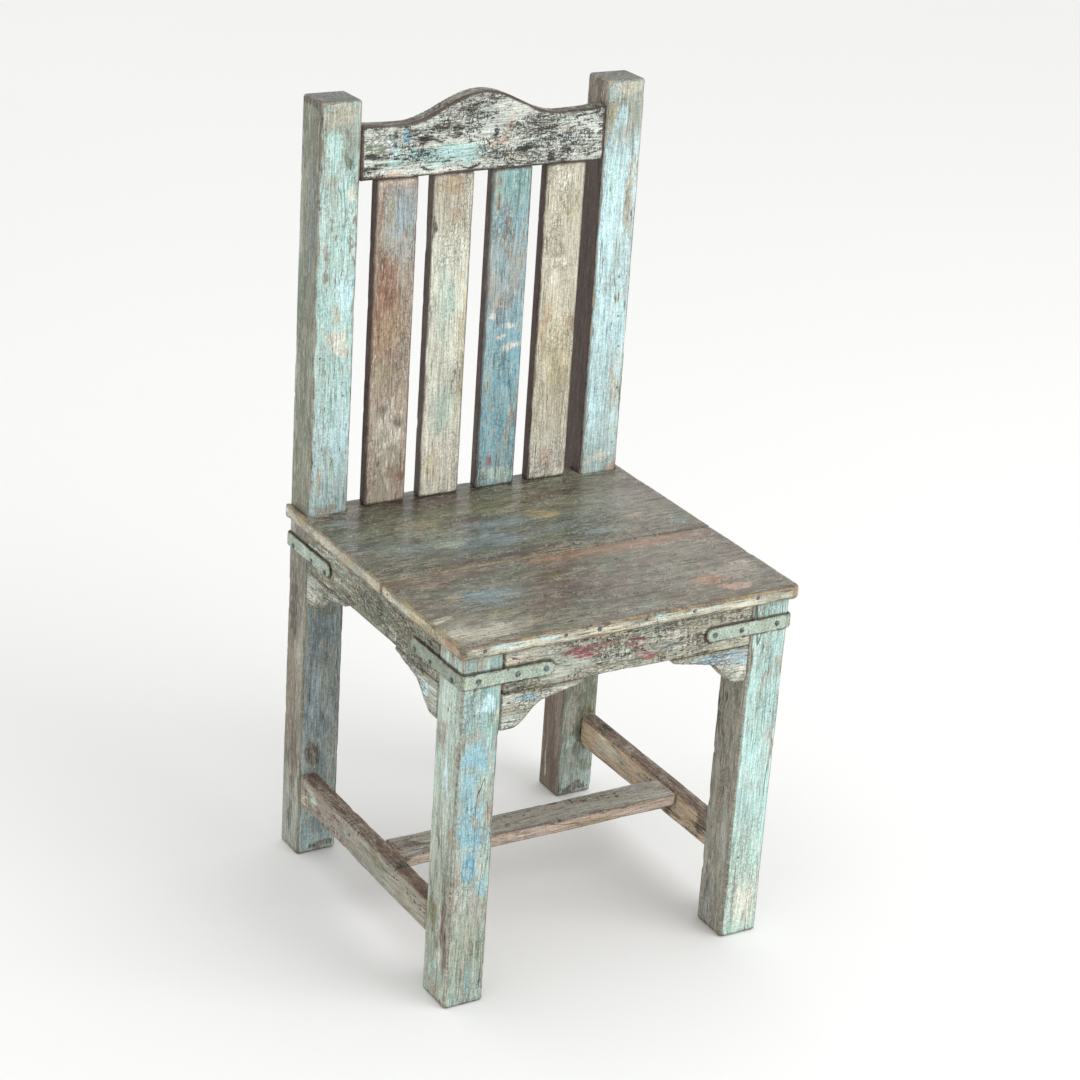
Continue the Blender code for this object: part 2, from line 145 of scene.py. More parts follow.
# The coat and the share of paint on each face, where the timbers of a kind are alike
PLAIN = dict.fromkeys(FACES, ("dust", 0.5))
POST = {
    "right": ("weather", 0.66), "back": ("sage", 0.72), "top": ("graphite", 1.1), "under": ("umber", 0.3)}
LEG = {**PLAIN, "right": ("mint", 0.72), "back": ("weather", 0.66), "under": ("umber", 0.3)}
SLAT = {"left": ("maroon", 1.4), "right": ("maroon", 1.3), "top": ("umber", 0.5), "under": ("umber", 0.5)}
SEAT = {
    "front": ("dust", 0.7), "back": ("dust", 0.7), "left": ("stone", 0.9), "right": ("stone", 0.8),
    "under": ("walnut", 0.5)}
RAIL = {**PLAIN, "under": ("taupe", 0.5)}
BRACKET = {**dict.fromkeys(FACES, ("frost", 0.8)), "top": ("dust", 0.5), "under": ("stone", 0.7)}

# For each timber: its grain axis, finish, slot and the coat and share of paint on each face
TIMBERS = {
    "back_post_left": (Z, "post", "sky_paint", {
        **POST, "front": ("aqua", 0.90), "left": ("lichen", 0.95), "right": ("taupe", 0.6)}),
    "back_post_right": (Z, "post", "sky_paint", {**POST, "front": ("ice", 0.94), "left": ("maroon", 1.4)}),
    "leg_front_left": (Z, "leg", "sky_paint", {**LEG, "front": ("mist", 0.84), "left": ("mint", 0.78)}),
    "leg_front_right": (Z, "leg", "sky_paint", {
        **LEG, "front": ("aqua", 0.98), "left": ("driftwood", 0.64)}),
    "crest_rail": (X, "crest", "mint_paint", {
        "front": ("chalk", 0.96), "back": ("frost", 0.7), "top": ("umber", 0.9), "under": ("taupe", 0.6),
        "left": ("dust", 0.6), "right": ("dust", 0.6)}),
    "slat_1": (Z, "slat", "taupe_wood", {**SLAT, "front": ("fawn", 0.84), "back": ("fawn", 0.66)}),
    "slat_2": (Z, "slat", "cream_paint", {**SLAT, "front": ("cream", 0.96), "back": ("cream", 0.7)}),
    "slat_3": (Z, "slat", "teal_paint", {**SLAT, "front": ("azure", 0.92), "back": ("azure", 0.7)}),
    "slat_4": (Z, "slat", "cream_paint", {**SLAT, "front": ("linen", 0.92), "back": ("stone", 0.68)}),
    "seat_plank_back": (X, "seat", "seat_wood", {**SEAT, "top": ("bark", 0.9)}),
    "seat_plank_front": (X, "seat", "seat_wood", {
        **SEAT, "front": ("linen", 0.92), "left": ("sand", 0.9), "top": ("loam", 0.9)}),
    "apron_front": (X, "rail", "mint_paint", {
        **RAIL, "front": ("weather", 0.74), "left": ("dust", 0.6), "right": ("dust", 0.6)}),
    "apron_back": (X, "rail", "mint_paint", {
        **RAIL, "back": ("frost", 0.7), "left": ("dust", 0.6), "right": ("dust", 0.6)}),
    "apron_left": (Y, "rail", "mint_paint", {
        **RAIL, "front": ("dust", 0.6), "back": ("dust", 0.6), "left": ("lichen", 0.70)}),
    "apron_right": (Y, "rail", "mint_paint", {
        **RAIL, "front": ("dust", 0.6), "back": ("dust", 0.6), "right": ("frost", 0.74)}),
    "side_stretcher_left": (Y, "stretcher", "bare_wood", {
        **RAIL, "left": ("dust", 0.66), "top": ("walnut", 0.8)}),
    "side_stretcher_right": (Y, "stretcher", "bare_wood", {
        **RAIL, "left": ("wheat", 0.84), "right": ("dust", 0.6), "top": ("walnut", 0.9)}),
    "cross_stretcher": (X, "stretcher", "bare_wood", {
        **RAIL, "front": ("blush", 0.85), "top": ("ash", 0.76)}),
}
for side, other in (("front", "left"), ("front", "right"), ("back", "left"), ("back", "right")):
    TIMBERS[f"bracket_{side}_{other}"] = (X, "rail", "mint_paint", {
        **BRACKET, "front": ("frost", 0.84), "back": ("frost", 0.7)})
    TIMBERS[f"bracket_{other}_{side}"] = (Y, "rail", "mint_paint", {
        **BRACKET, "left": ("frost", 0.82), "right": ("frost", 0.7)})

# Pieces cut from a board along an outline: the axis through the board
OUTLINED = {"crest_rail": Y, "apron_front": Y, "apron_back": Y, "apron_left": X, "apron_right": X}
OUTLINED.update({name: Y if TIMBERS[name][0] == X else X for name in TIMBERS if name.startswith("bracket")})

# Large zones of another coat, laid before the stains, by timber and face: colour, centre and half size
# along the face's two axes, in millimetres
ZONES = {
    "back_post_left": {
        "front": (
            ("weather", -198, 925, 40, 36), ("ice", -190, 540, 60, 60), ("slate", -190, 215, 60, 232),
        ),
        "left": (
            ("moss", 215, 700, 14, 300), ("driftwood", 196, 230, 60, 230), ("weather", 205, 50, 60, 50),
        ),
    },
    "back_post_right": {
        "front": (("weather", 200, 930, 40, 40), ("lichen", 190, 215, 60, 232)),
        "left": (("taupe", 196, 200, 60, 240), ("stone", 196, 930, 60, 44)),
    },
    "slat_1": {
        "front": (("steel", -105, 815, 24, 45), ("rust", -130, 700, 24, 62), ("fawn", -112, 545, 40, 60)),
    },
    "slat_2": {
        "front": (("stone", -42, 840, 26, 40), ("bone", -38, 500, 40, 60)),
    },
    "slat_3": {
        "front": (("teal", 40, 850, 40, 36), ("steel", 30, 730, 40, 50)),
    },
    "slat_4": {
        "front": (("sand", 118, 610, 20, 60), ("bone", 118, 486, 50, 30), ("stone", 112, 760, 20, 50)),
    },
    "seat_plank_back": {
        "top": (
            ("slate", -60, 50, 130, 34), ("olive", 40, 116, 80, 26), ("moss", -130, 86, 50, 24),
            ("umber", -120, 176, 120, 20), ("driftwood", 170, 90, 60, 80), ("walnut", 0, -28, 260, 10),
        ),
    },
    "seat_plank_front": {
        "top": (
            ("walnut", 20, -110, 150, 40), ("slate", -130, -110, 40, 30), ("stone", -185, -190, 60, 26),
            ("driftwood", 150, -120, 60, 60), ("rust", 60, -48, 180, 8),
        ),
    },
    "apron_front": {
        "front": (("frost", -120, 430, 60, 20), ("linen", 150, 425, 60, 30)),
    },
    "leg_front_left": {
        "front": (("teal", -180, 360, 26, 80), ("sage", -190, 80, 60, 60)),
        "left": (("sage", -190, 110, 60, 120),),
    },
    "leg_front_right": {
        "front": (("mint", 190, 60, 60, 70),),
    },
    "side_stretcher_left": {
        "left": (("weather", -60, 90, 90, 30),),
    },
}

# Stains and scraps of other coats, by timber and face: colour, centre and half size along the face's two
# axes, in millimetres, and how much of the place is covered
STAINS = {
    "back_post_left": {
        "front": (
            ("stone", -190, 952, 25, 14, 1), ("aqua", -196, 911, 11, 23, 1),
            ("moss", -177, 896, 8, 16, 0.8), ("ash", -202, 875, 18, 9, 0.7),
            ("bone", -172, 854, 6, 9, 0.9), ("aqua", -180, 801, 13, 33, 1), ("ice", -177, 738, 12, 27, 1),
            ("ash", -201, 785, 4, 14, 0.8), ("ash", -200, 752, 5, 8, 0.8), ("dust", -194, 706, 6, 18, 0.8),
            ("bone", -184, 678, 13, 15, 1.1), ("linen", -190, 712, 8, 16, 0.9),
            ("blush", -178, 665, 9, 5, 0.8), ("aqua", -192, 613, 15, 56, 0.8),
            ("stone", -204, 504, 6, 20, 0.8), ("mint", -188, 518, 18, 28, 0.7),
            ("dust", -193, 470, 26, 5, 0.8), ("slate", -193, 296, 19, 47, 1),
            ("steel", -196, 228, 8, 61, 0.8), ("moss", -188, 332, 19, 8, 0.9),
            ("ash", -166, 146, 5, 42, 0.8), ("umber", -199, 144, 11, 17, 1),
            ("slate", -184, 38, 19, 14, 1), ("umber", -186, 8, 19, 6, 1),
        ),
        "left": (
            ("umber", 196, 962, 20, 6, 1), ("ash", 219, 839, 7, 107, 0.9), ("slate", 189, 824, 9, 83, 0.8),
            ("moss", 187, 605, 11, 112, 0.8), ("ash", 213, 596, 4, 113, 0.8),
            ("dust", 188, 225, 4, 109, 0.9), ("taupe", 206, 203, 8, 82, 0.9),
            ("umber", 204, 330, 12, 60, 0.9), ("walnut", 190, 130, 10, 60, 0.9),
            ("umber", 199, 46, 10, 28, 0.8),
        ),
        "top": (("graphite", -186, 206, 25, 13, 1),),
    },
    "back_post_right": {
        "front": (
            ("stone", 194, 956, 20, 10, 0.9), ("ice", 185, 919, 7, 15, 0.9),
            ("khaki", 174, 923, 6, 20, 0.9), ("aqua", 178, 843, 11, 31, 0.8), ("ice", 175, 755, 11, 76, 1),
            ("ice", 178, 599, 12, 86, 1), ("stone", 205, 816, 6, 69, 0.8), ("ash", 192, 904, 7, 17, 0.6),
            ("stone", 201, 576, 9, 66, 0.7), ("bone", 191, 483, 23, 8, 0.8),
            ("clay", 211, 468, 12, 5, 0.9), ("mint", 206, 515, 12, 30, 0.6),
            ("stone", 176, 300, 8, 60, 0.9), ("umber", 205, 300, 8, 50, 0.9),
            ("ash", 178, 119, 10, 44, 0.7), ("moss", 203, 154, 11, 17, 1), ("olive", 202, 125, 9, 7, 1),
            ("mint", 181, 79, 8, 15, 0.8), ("soot", 202, 85, 9, 21, 0.9), ("moss", 204, 40, 11, 12, 0.8),
            ("umber", 191, 8, 23, 7, 1), ("ash", 180, 49, 11, 21, 0.7),
        ),
        "left": (
            ("taupe", 203, 942, 13, 15, 1), ("maroon", 197, 684, 30, 300, 1.3),
            ("tan", 206, 290, 10, 70, 0.9), ("umber", 192, 330, 8, 40, 0.9),
            ("walnut", 203, 93, 18, 59, 1), ("walnut", 187, 34, 16, 30, 0.9),
            ("bone", 207, 69, 2, 59, 0.8),
        ),
        "top": (("graphite", 186, 197, 28, 13, 1),),
    },
    "crest_rail": {
        "front": (
            ("sky", -104, 914, 6, 8, 1.1), ("ice", -124, 910, 5, 9, 0.9), ("ice", -118, 896, 9, 9, 1),
            ("aqua", -62, 893, 58, 9, 1.3), ("glacier", -64, 893, 44, 5, 1.15),
            ("azure", -48, 896, 14, 4, 0.8), ("bone", -78, 901, 14, 4, 1.1),
            ("aqua", -120, 888, 14, 7, 1), ("blush", 26, 904, 11, 10, 0.85),
            ("linen", 33, 887, 13, 8, 0.9), ("blush", 34, 922, 9, 11, 0.8), ("blush", 8, 897, 14, 5, 0.9),
            ("linen", 50, 883, 11, 5, 0.9), ("blush", -125, 871, 23, 4, 1),
            ("blush", -44, 871, 32, 3, 0.9), ("steel", 5, 938, 11, 5, 0.8), ("moss", 99, 921, 28, 8, 0.6),
            ("moss", -148, 907, 20, 8, 0.85), ("soot", -42, 917, 9, 14, 0.86),
            ("soot", -121, 917, 6, 8, 0.8), ("soot", -119, 904, 3, 7, 0.84),
            ("soot", -80, 911, 14, 8, 0.9), ("soot", -97, 894, 4, 3, 0.9), ("soot", 12, 913, 5, 12, 0.8),
            ("soot", 55, 890, 20, 6, 0.86), ("soot", 27, 889, 7, 4, 0.84), ("soot", 93, 880, 6, 7, 0.86),
            ("soot", 111, 884, 13, 6, 0.76), ("soot", 114, 904, 12, 7, 0.68),
            ("soot", 88, 902, 30, 8, 0.6), ("soot", -146, 896, 24, 6, 0.94),
            ("soot", -131, 885, 18, 4, 0.76), ("soot", -75, 878, 17, 3, 0.84),
            ("soot", -18, 879, 18, 3, 0.84), ("soot", 23, 875, 16, 4, 0.8),
            ("soot", -135, 934, 51, 4, 0.8), ("soot", 72, 913, 30, 4, 0.66),
            ("soot", -149, 880, 17, 6, 0.8), ("soot", 143, 883, 15, 8, 0.64),
            ("soot", -25, 946, 16, 7, 0.7), ("soot", -63, 927, 14, 7, 0.76),
            ("soot", -98, 924, 18, 6, 0.84), ("ice", 114, 895, 11, 5, 0.6), ("moss", 159, 870, 56, 3, 0.7),
        ),
    },
    "slat_1": {
        "front": (
            ("blush", -113, 866, 28, 5, 1), ("steel", -106, 824, 13, 30, 0.8),
            ("ash", -109, 790, 20, 18, 0.8), ("rust", -120, 742, 21, 47, 0.8),
            ("tan", -117, 684, 24, 32, 0.8), ("khaki", -119, 632, 16, 13, 0.8),
            ("bone", -113, 546, 27, 62, 0.72), ("soot", -118, 586, 9, 12, 0.76),
            ("soot", -100, 566, 8, 12, 0.76), ("soot", -122, 546, 8, 12, 0.76),
            ("soot", -104, 530, 9, 10, 0.76), ("soot", -124, 512, 8, 9, 0.72),
            ("rust", -96, 498, 16, 13, 0.8), ("rust", -135, 802, 3, 66, 0.9),
            ("olive", -122, 831, 8, 24, 0.6), ("bone", -136, 634, 2, 38, 0.9),
        ),
        "left": (("maroon", 190, 682, 9, 211, 1.3),),
    },
    "slat_2": {
        "front": (
            ("tan", -38, 855, 27, 14, 0.75), ("tan", -33, 817, 12, 18, 0.7),
            ("soot", -59, 807, 5, 17, 0.62), ("mint", -43, 713, 16, 69, 0.75),
            ("mint", -38, 573, 24, 41, 0.8), ("sand", -17, 647, 5, 114, 0.8),
            ("sand", -50, 500, 12, 31, 0.7), ("blush", -17, 673, 3, 25, 0.7),
        ),
        "left": (("maroon", 193, 672, 9, 214, 1.3),),
    },
    "slat_3": {
        "front": (
            ("teal", 37, 854, 23, 10, 0.9), ("steel", 42, 810, 19, 32, 0.7),
            ("crimson", 34, 827, 3, 9, 0.62), ("ash", 19, 744, 8, 45, 0.78),
            ("ash", 33, 702, 21, 15, 0.74), ("bone", 54, 645, 14, 7, 0.85), ("bone", 26, 684, 12, 4, 0.85),
            ("bone", 50, 672, 10, 3, 0.85), ("bone", 36, 662, 9, 3, 0.8), ("azure", 39, 612, 18, 44, 0.9),
            ("azure", 35, 540, 15, 31, 0.95), ("mint", 45, 478, 28, 13, 0.85),
            ("crimson", 31, 498, 3, 12, 0.8), ("ash", 55, 541, 6, 53, 0.7), ("azure", 39, 752, 8, 27, 0.8),
            ("soot", 33, 705, 11, 5, 0.6),
        ),
        "left": (("maroon", 193, 663, 8, 217, 1.3),),
    },
    "slat_4": {
        "front": (
            ("bone", 113, 848, 22, 10, 0.8), ("khaki", 124, 816, 17, 22, 0.6),
            ("bone", 107, 745, 13, 6, 1), ("bone", 111, 726, 6, 10, 1), ("tan", 99, 659, 7, 51, 0.8),
            ("tan", 137, 665, 7, 18, 0.8), ("khaki", 119, 602, 17, 39, 0.7),
            ("clay", 137, 476, 14, 6, 0.6), ("blush", 111, 493, 11, 21, 0.8),
            ("crimson", 106, 485, 2, 4, 0.9), ("crimson", 110, 468, 2, 4, 0.9),
            ("crimson", 110, 504, 2, 3, 0.8),
        ),
        "left": (("maroon", 183, 658, 8, 219, 1.3),),
    },
    "seat_plank_back": {
        "top": (
            ("umber", -162, 137, 12, 19, 0.9), ("slate", -193, 133, 18, 12, 0.8),
            ("olive", -104, 98, 37, 24, 0.8), ("sage", -102, 32, 24, 14, 0.9),
            ("umber", -40, 90, 44, 14, 0.9), ("umber", -205, 128, 22, 16, 0.9),
            ("umber", -70, 146, 60, 12, 0.9), ("umber", 88, 128, 40, 14, 0.9),
            ("umber", -110, -18, 60, 8, 0.8), ("bark", 20, 50, 70, 10, 0.9),
            ("umber", 30, -16, 60, 8, 0.75), ("ochre", 53, 72, 28, 18, 0.8),
            ("walnut", -34, 154, 38, 14, 0.7), ("pewter", 154, 80, 40, 27, 0.8),
            ("clay", 157, 28, 23, 13, 0.6), ("slate", 88, 2, 31, 9, 0.8), ("slate", 198, -6, 20, 11, 0.7),
            ("clay", -198, 171, 16, 13, 0.8), ("sage", -108, 67, 18, 10, 0.6),
            ("walnut", -205, -43, 33, 6, 0.9), ("rust", -124, -43, 46, 6, 0.8),
            ("rust", 57, -51, 82, 5, 0.75), ("slate", -15, 14, 40, 10, 0.7), ("olive", 37, 9, 33, 10, 0.6),
        ),
        "left": (
            ("ochre", 174, 453, 11, 5, 1), ("ochre", 55, 452, 16, 5, 0.9), ("sand", 123, 453, 33, 7, 0.9),
            ("sand", -19, 453, 27, 7, 1), ("bone", 213, 459, 11, 6, 0.9),
        ),
    },
    "seat_plank_front": {
        "top": (
            ("rust", -176, -61, 25, 9, 0.8), ("umber", -30, -140, 60, 12, 0.8),
            ("bark", -90, -86, 60, 10, 0.9), ("umber", 60, -176, 60, 8, 0.75),
            ("dust", 176, -160, 40, 24, 0.9), ("slate", -125, -109, 31, 18, 0.9),
            ("walnut", -69, -152, 28, 18, 0.8), ("olive", -23, -93, 19, 13, 0.8),
            ("pewter", 74, -133, 49, 29, 0.6), ("walnut", 122, -106, 21, 13, 0.7),
            ("copper", 134, -170, 20, 12, 1.1), ("clay", 150, -196, 22, 9, 1),
            ("stone", 193, -140, 31, 16, 0.6), ("stone", -187, -194, 42, 18, 1.1),
            ("stone", -208, -150, 17, 11, 0.75), ("olive", -138, -156, 35, 11, 0.7),
            ("sage", 14, -207, 53, 9, 0.6), ("rust", 106, -61, 69, 5, 0.7),
            ("walnut", -2, -147, 29, 12, 0.7), ("ochre", -174, -106, 18, 9, 0.6),
        ),
        "front": (
            ("ice", -168, 457, 25, 4, 0.9), ("ice", -114, 458, 20, 4, 0.7), ("sand", -36, 453, 40, 4, 0.8),
            ("linen", 130, 452, 60, 4, 0.8), ("ice", 33, 456, 9, 4, 0.7), ("sage", 198, 459, 17, 6, 0.6),
            ("mint", 84, 458, 54, 5, 0.6), ("copper", 90, 463, 150, 3, 1.2),
            ("copper", -140, 463, 90, 2, 1.1), ("copper", -40, 446, 180, 2, 1.05),
            ("copper", 218, 456, 5, 9, 1.2), ("copper", -222, 454, 6, 11, 1.2),
        ),
        "left": (
            ("linen", -80, 453, 41, 6, 1), ("ochre", -152, 452, 30, 7, 1),
            ("copper", -205, 454, 18, 10, 1.2), ("ochre", -117, 453, 24, 6, 1),
        ),
    },
    "apron_front": {
        "front": (
            ("steel", -201, 437, 17, 5, 0.7), ("blush", -151, 432, 27, 5, 0.8),
            ("crimson", -64, 429, 30, 6, 1), ("crimson", 6, 424, 15, 9, 1.1),
            ("crimson", 22, 408, 20, 6, 1), ("sand", -42, 439, 59, 2, 1), ("slate", 56, 413, 24, 8, 0.7),
            ("soot", -40, 412, 9, 5, 0.66), ("khaki", 80, 424, 19, 10, 0.8),
            ("walnut", 137, 440, 25, 3, 0.9), ("mint", -14, 417, 21, 5, 0.7),
            ("mint", 163, 426, 41, 8, 0.7), ("bone", -26, 397, 29, 3, 0.8),
            ("copper", -29, 431, 18, 2, 0.8),
        ),
    },
    "bracket_front_left": {
        "front": (
            ("azure", -131, 382, 20, 6, 1), ("ice", -152, 384, 12, 5, 0.6),
            ("mint", -153, 362, 13, 10, 0.6), ("bone", -83, 385, 18, 4, 0.8),
        ),
    },
    "bracket_front_right": {
        "front": (
            ("steel", 134, 386, 34, 10, 1.2), ("azure", 124, 389, 26, 8, 1.3),
            ("glacier", 150, 378, 10, 6, 1), ("bone", 154, 368, 7, 12, 0.8),
            ("blush", 121, 398, 11, 3, 0.8), ("ice", 149, 360, 8, 4, 0.6), ("soot", 85, 399, 16, 5, 0.56),
        ),
    },
    "apron_left": {
        "left": (
            ("sage", 65, 428, 28, 9, 0.8), ("slate", 19, 428, 27, 8, 0.6), ("khaki", -68, 427, 19, 7, 0.8),
            ("moss", -20, 419, 27, 8, 0.7), ("mint", -164, 422, 21, 5, 0.6),
            ("umber", 191, 431, 21, 4, 0.8),
        ),
    },
    "bracket_left_front": {
        "left": (
            ("ochre", -131, 389, 16, 4, 0.7), ("ice", -132, 373, 11, 9, 0.8),
            ("ash", -142, 353, 11, 10, 0.7),
        ),
    },
    "bracket_left_back": {
        "left": (("bone", 157, 365, 17, 12, 0.8), ("umber", 125, 369, 16, 4, 0.9)),
    },
    "leg_front_left": {
        "front": (
            ("mint", -206, 407, 16, 10, 0.6), ("ice", -184, 388, 9, 11, 0.9),
            ("ash", -198, 350, 17, 7, 0.8), ("glacier", -190, 321, 24, 22, 1.1),
            ("sky", -186, 316, 13, 10, 1.2), ("glacier", -199, 282, 14, 18, 1.1),
            ("teal", -195, 302, 11, 7, 0.6), ("glacier", -191, 234, 20, 32, 1.15),
            ("sky", -188, 226, 10, 16, 1.2), ("sky", -193, 180, 9, 22, 1.1),
            ("glacier", -173, 151, 8, 12, 1), ("mint", -174, 302, 5, 69, 0.7),
            ("blush", -189, 271, 6, 4, 0.7), ("ash", -183, 131, 20, 29, 0.7),
            ("soot", -183, 134, 20, 13, 0.56), ("moss", -186, 73, 20, 26, 0.6),
            ("teal", -188, 36, 5, 21, 0.8), ("khaki", -213, 100, 4, 33, 0.7),
            ("aqua", -168, 101, 4, 52, 0.5), ("sand", -171, 370, 4, 15, 0.8),
        ),
        "left": (
            ("aqua", -216, 323, 9, 74, 0.6), ("ice", -191, 298, 7, 27, 0.8),
            ("dust", -179, 339, 9, 17, 0.8), ("soot", -186, 207, 6, 18, 0.7),
            ("walnut", -206, 100, 9, 60, 1), ("bone", -196, 70, 6, 30, 0.8),
            ("olive", -180, 107, 10, 24, 1), ("moss", -190, 77, 10, 13, 1), ("aqua", -187, 38, 8, 16, 0.9),
            ("umber", -207, 5, 15, 5, 0.8), ("aqua", -210, 142, 8, 32, 0.5),
        ),
    },
    "leg_front_right": {
        "front": (
            ("aqua", 196, 329, 17, 52, 1), ("aqua", 183, 265, 13, 34, 0.9),
            ("khaki", 172, 375, 4, 23, 0.8), ("blush", 165, 399, 7, 8, 0.7),
            ("ash", 195, 207, 17, 13, 0.6), ("mint", 182, 142, 17, 20, 0.6),
            ("aqua", 210, 159, 9, 41, 0.8), ("bone", 194, 38, 23, 33, 0.7),
            ("mint", 193, 405, 17, 10, 0.6), ("aqua", 202, 92, 11, 17, 0.6),
        ),
        "left": (
            ("soot", -174, 301, 11, 44, 0.85), ("khaki", -190, 310, 7, 18, 0.6),
            ("taupe", -188, 175, 10, 54, 0.6), ("ash", -190, 230, 7, 53, 0.5),
            ("walnut", -175, 58, 10, 42, 0.6), ("moss", -206, 60, 7, 28, 0.5),
        ),
    },
    "side_stretcher_left": {
        "left": (
            ("mint", 137, 98, 16, 8, 0.9), ("sand", 161, 82, 8, 6, 1), ("teal", 46, 96, 11, 8, 0.8),
            ("olive", -41, 103, 26, 8, 0.8), ("sage", -122, 101, 28, 8, 0.7),
            ("umber", 74, 104, 19, 5, 0.6),
        ),
        "top": (("soot", -204, -75, 23, 11, 0.9), ("soot", -182, 189, 11, 10, 0.8)),
    },
    "cross_stretcher": {
        "top": (("umber", -177, -35, 26, 9, 0.9), ("ash", 148, -43, 29, 11, 0.7)),
        "front": (
            ("clay", -88, 106, 53, 5, 0.7), ("tan", 67, 102, 56, 6, 0.8), ("soot", -193, 110, 18, 5, 0.9),
        ),
    },
    "side_stretcher_right": {
        "left": (
            ("bone", 124, 106, 16, 6, 0.62), ("stone", 100, 96, 40, 8, 1), ("tan", 26, 113, 45, 9, 0.8),
            ("umber", -43, 90, 11, 14, 1), ("ash", -70, 99, 11, 11, 0.8), ("umber", -116, 98, 14, 14, 1),
        ),
        "top": (
            ("soot", 204, 132, 21, 10, 0.9), ("walnut", 210, 55, 30, 9, 0.8),
            ("taupe", 213, -58, 20, 11, 0.9),
        ),
    },
}

# Small old nail holes, by timber and face: their centre and radius in millimetres
NAIL_HOLES = {
    "back_post_right": {
        "front": ((199, 718, 2.2), (203, 667, 1.8), (207, 627, 1.8), (209, 572, 1.8), (176, 506, 1.6)),
    },
    "back_post_left": {
        "front": ((-207, 660, 1.8), (-176, 610, 1.6)),
        "left": ((196, 520, 1.8),),
    },
    "leg_front_left": {
        "front": ((-200, 404, 1.8),),
        "left": ((-188, 372, 1.8),),
    },
    "leg_front_right": {
        "front": ((205, 300, 1.8), (180, 108, 1.8)),
    },
    "seat_plank_front": {
        "front": (
            (-195, 455, 2.6), (-93, 456, 2.6), (-49, 456, 3.2), (12, 457, 2.6), (77, 456, 2.6),
            (164, 457, 2.6),
        ),
        "top": ((62, -78, 2.4),),
    },
}
NAIL_SINK = 0.0012
# How dark an old nail hole is made: painted shade in the hole, with dirt
HOLE_SHADE = 1.5

# A nail head in the seat's front edge: its radius, how much smaller it is than its hole, its depth, how far
# back it lies, its dents and the room left in front of it
HEAD_RADIUS = 0.0025
HEAD_MARGIN = 0.0003
HEAD_DEPTH = 0.003
HEAD_RISE = 0.0004
HEAD_DENT = 0.00012
HEAD_ROOM = 0.00005

# The stage in metres: the floor's width, the light's width, where it stands and where it looks
FLOOR_SIZE = 60.0
LIGHT_SIZE = 2.6
LIGHT_PLACE = (1.9, -2.6, 2.9)
LIT_PLACE = (0.0, 0.0, 0.5)

# A plank whose back edge laps over a rail with a thin tongue
LAPPED = {"seat_plank_back": "apron_back"}

# What the unseen faces of each finish are scattered with
SCATTER = {
    "post": ("aqua", "ice", "mint", "ash", "moss", "slate", "stone", "dust"),
    "leg": ("sky", "aqua", "mint", "ash", "slate", "dust", "khaki"),
    "crest": ("ice", "blush", "soot", "moss", "bone", "ash"),
    "slat": ("ash", "bone", "khaki", "tan", "steel", "mint"),
    "seat": ("olive", "slate", "walnut", "sage", "clay"),
    "rail": ("mint", "steel", "bone", "crimson", "slate", "walnut", "khaki"),
    "stretcher": ("ash", "umber", "tan", "sage", "walnut"),
}


def marks(table, name):
    """One timber's marks in a table, each with the two axes of its face and the face's name."""
    return [(face, *FACES[face][2], *mark) for face, given in table.get(name, {}).items() for mark in given]


def linear(code):
    """Turns a six-digit display colour into linear light."""
    values = [int(code[i : i + 2], 16) / 255 for i in (0, 2, 4)]
    return [v / 12.92 if v <= 0.04045 else ((v + 0.055) / 1.055) ** 2.4 for v in values]


def colour(name):
    """A palette colour as the sidebar has it, in linear light."""
    return tuple(getattr(bpy.context.scene.chair_colours, name))


def length(name, text, default, low=0.0, high=0.02):
    """A property that holds a size in metres."""
    return bpy.props.FloatProperty(name=name, description=text, default=default, min=low, max=high,
                                   unit="LENGTH", precision=5)


class ChairColours(bpy.types.PropertyGroup):
    """Every paint and wood colour of the chair."""

    __annotations__ = {
        name: bpy.props.FloatVectorProperty(
            name=name.capitalize(),
            description=f"The {name} that shows in the chair's coats and timber",
            default=linear(code),
            size=3,
            min=0.0,
            max=1.0,
            subtype="COLOR",
        )
        for name, code in PALETTE.items()
    }


class ChairWear(bpy.types.PropertyGroup):
    """How finely the timbers are worked and how deeply they are worn."""

    voxel: length("Timber grid", "Spacing of the worked surface of a timber", 0.0021, 0.001)
    strap_voxel: length("Iron grid", "Spacing of the worked surface of a strap", 0.0011, 0.0005)
    wave: length("Wave", "Depth of the slow hollows of an old board", 0.0005)
    groove: length("Groove", "Depth of the raised grain's grooves", 0.0004)
    flake: length("Flake", "Thickness of the paint where it has flaked", 0.0004)
    arris: length("Arris", "Wear all along an arris", 0.0002)
    chip: length("Chip", "Depth of the deepest chips out of an arris", 0.0024)
    tongue: length("Tongue", "Thickness of the tongue at the seat's back edge", 0.0056)
    tongue_lap: length("Tongue lap", "How far the tongue reaches over the back apron", 0.0045)
    tongue_room: length("Tongue room", "Space between the tongue and a post", 0.0008)


class ChairStage(bpy.types.PropertyGroup):
    """The light, the floor and the camera."""

    sky: bpy.props.FloatProperty(
        name="Sky", description="Strength of the even light from all round", default=0.95)
    key: bpy.props.FloatProperty(
        name="Key", description="Power of the large soft light", default=58.0, unit="POWER")
    lens: bpy.props.FloatProperty(
        name="Lens", description="Focal length of the camera in millimetres", default=90.84)
    camera: bpy.props.FloatVectorProperty(
        name="Camera", description="Where the camera stands", size=3, default=(-1.5575, -2.5246, 1.7182),
        subtype="TRANSLATION", unit="LENGTH")
    turn: bpy.props.FloatProperty(
        name="Turn", description="Where the camera looks from, round the chair",
        default=math.radians(-31.74), subtype="ANGLE")
    lift: bpy.props.FloatProperty(
        name="Lift", description="How far down the camera looks",
        default=math.radians(22.88), subtype="ANGLE")
    roll: bpy.props.FloatProperty(
        name="Roll", description="How far the camera leans", default=math.radians(3.906), subtype="ANGLE")


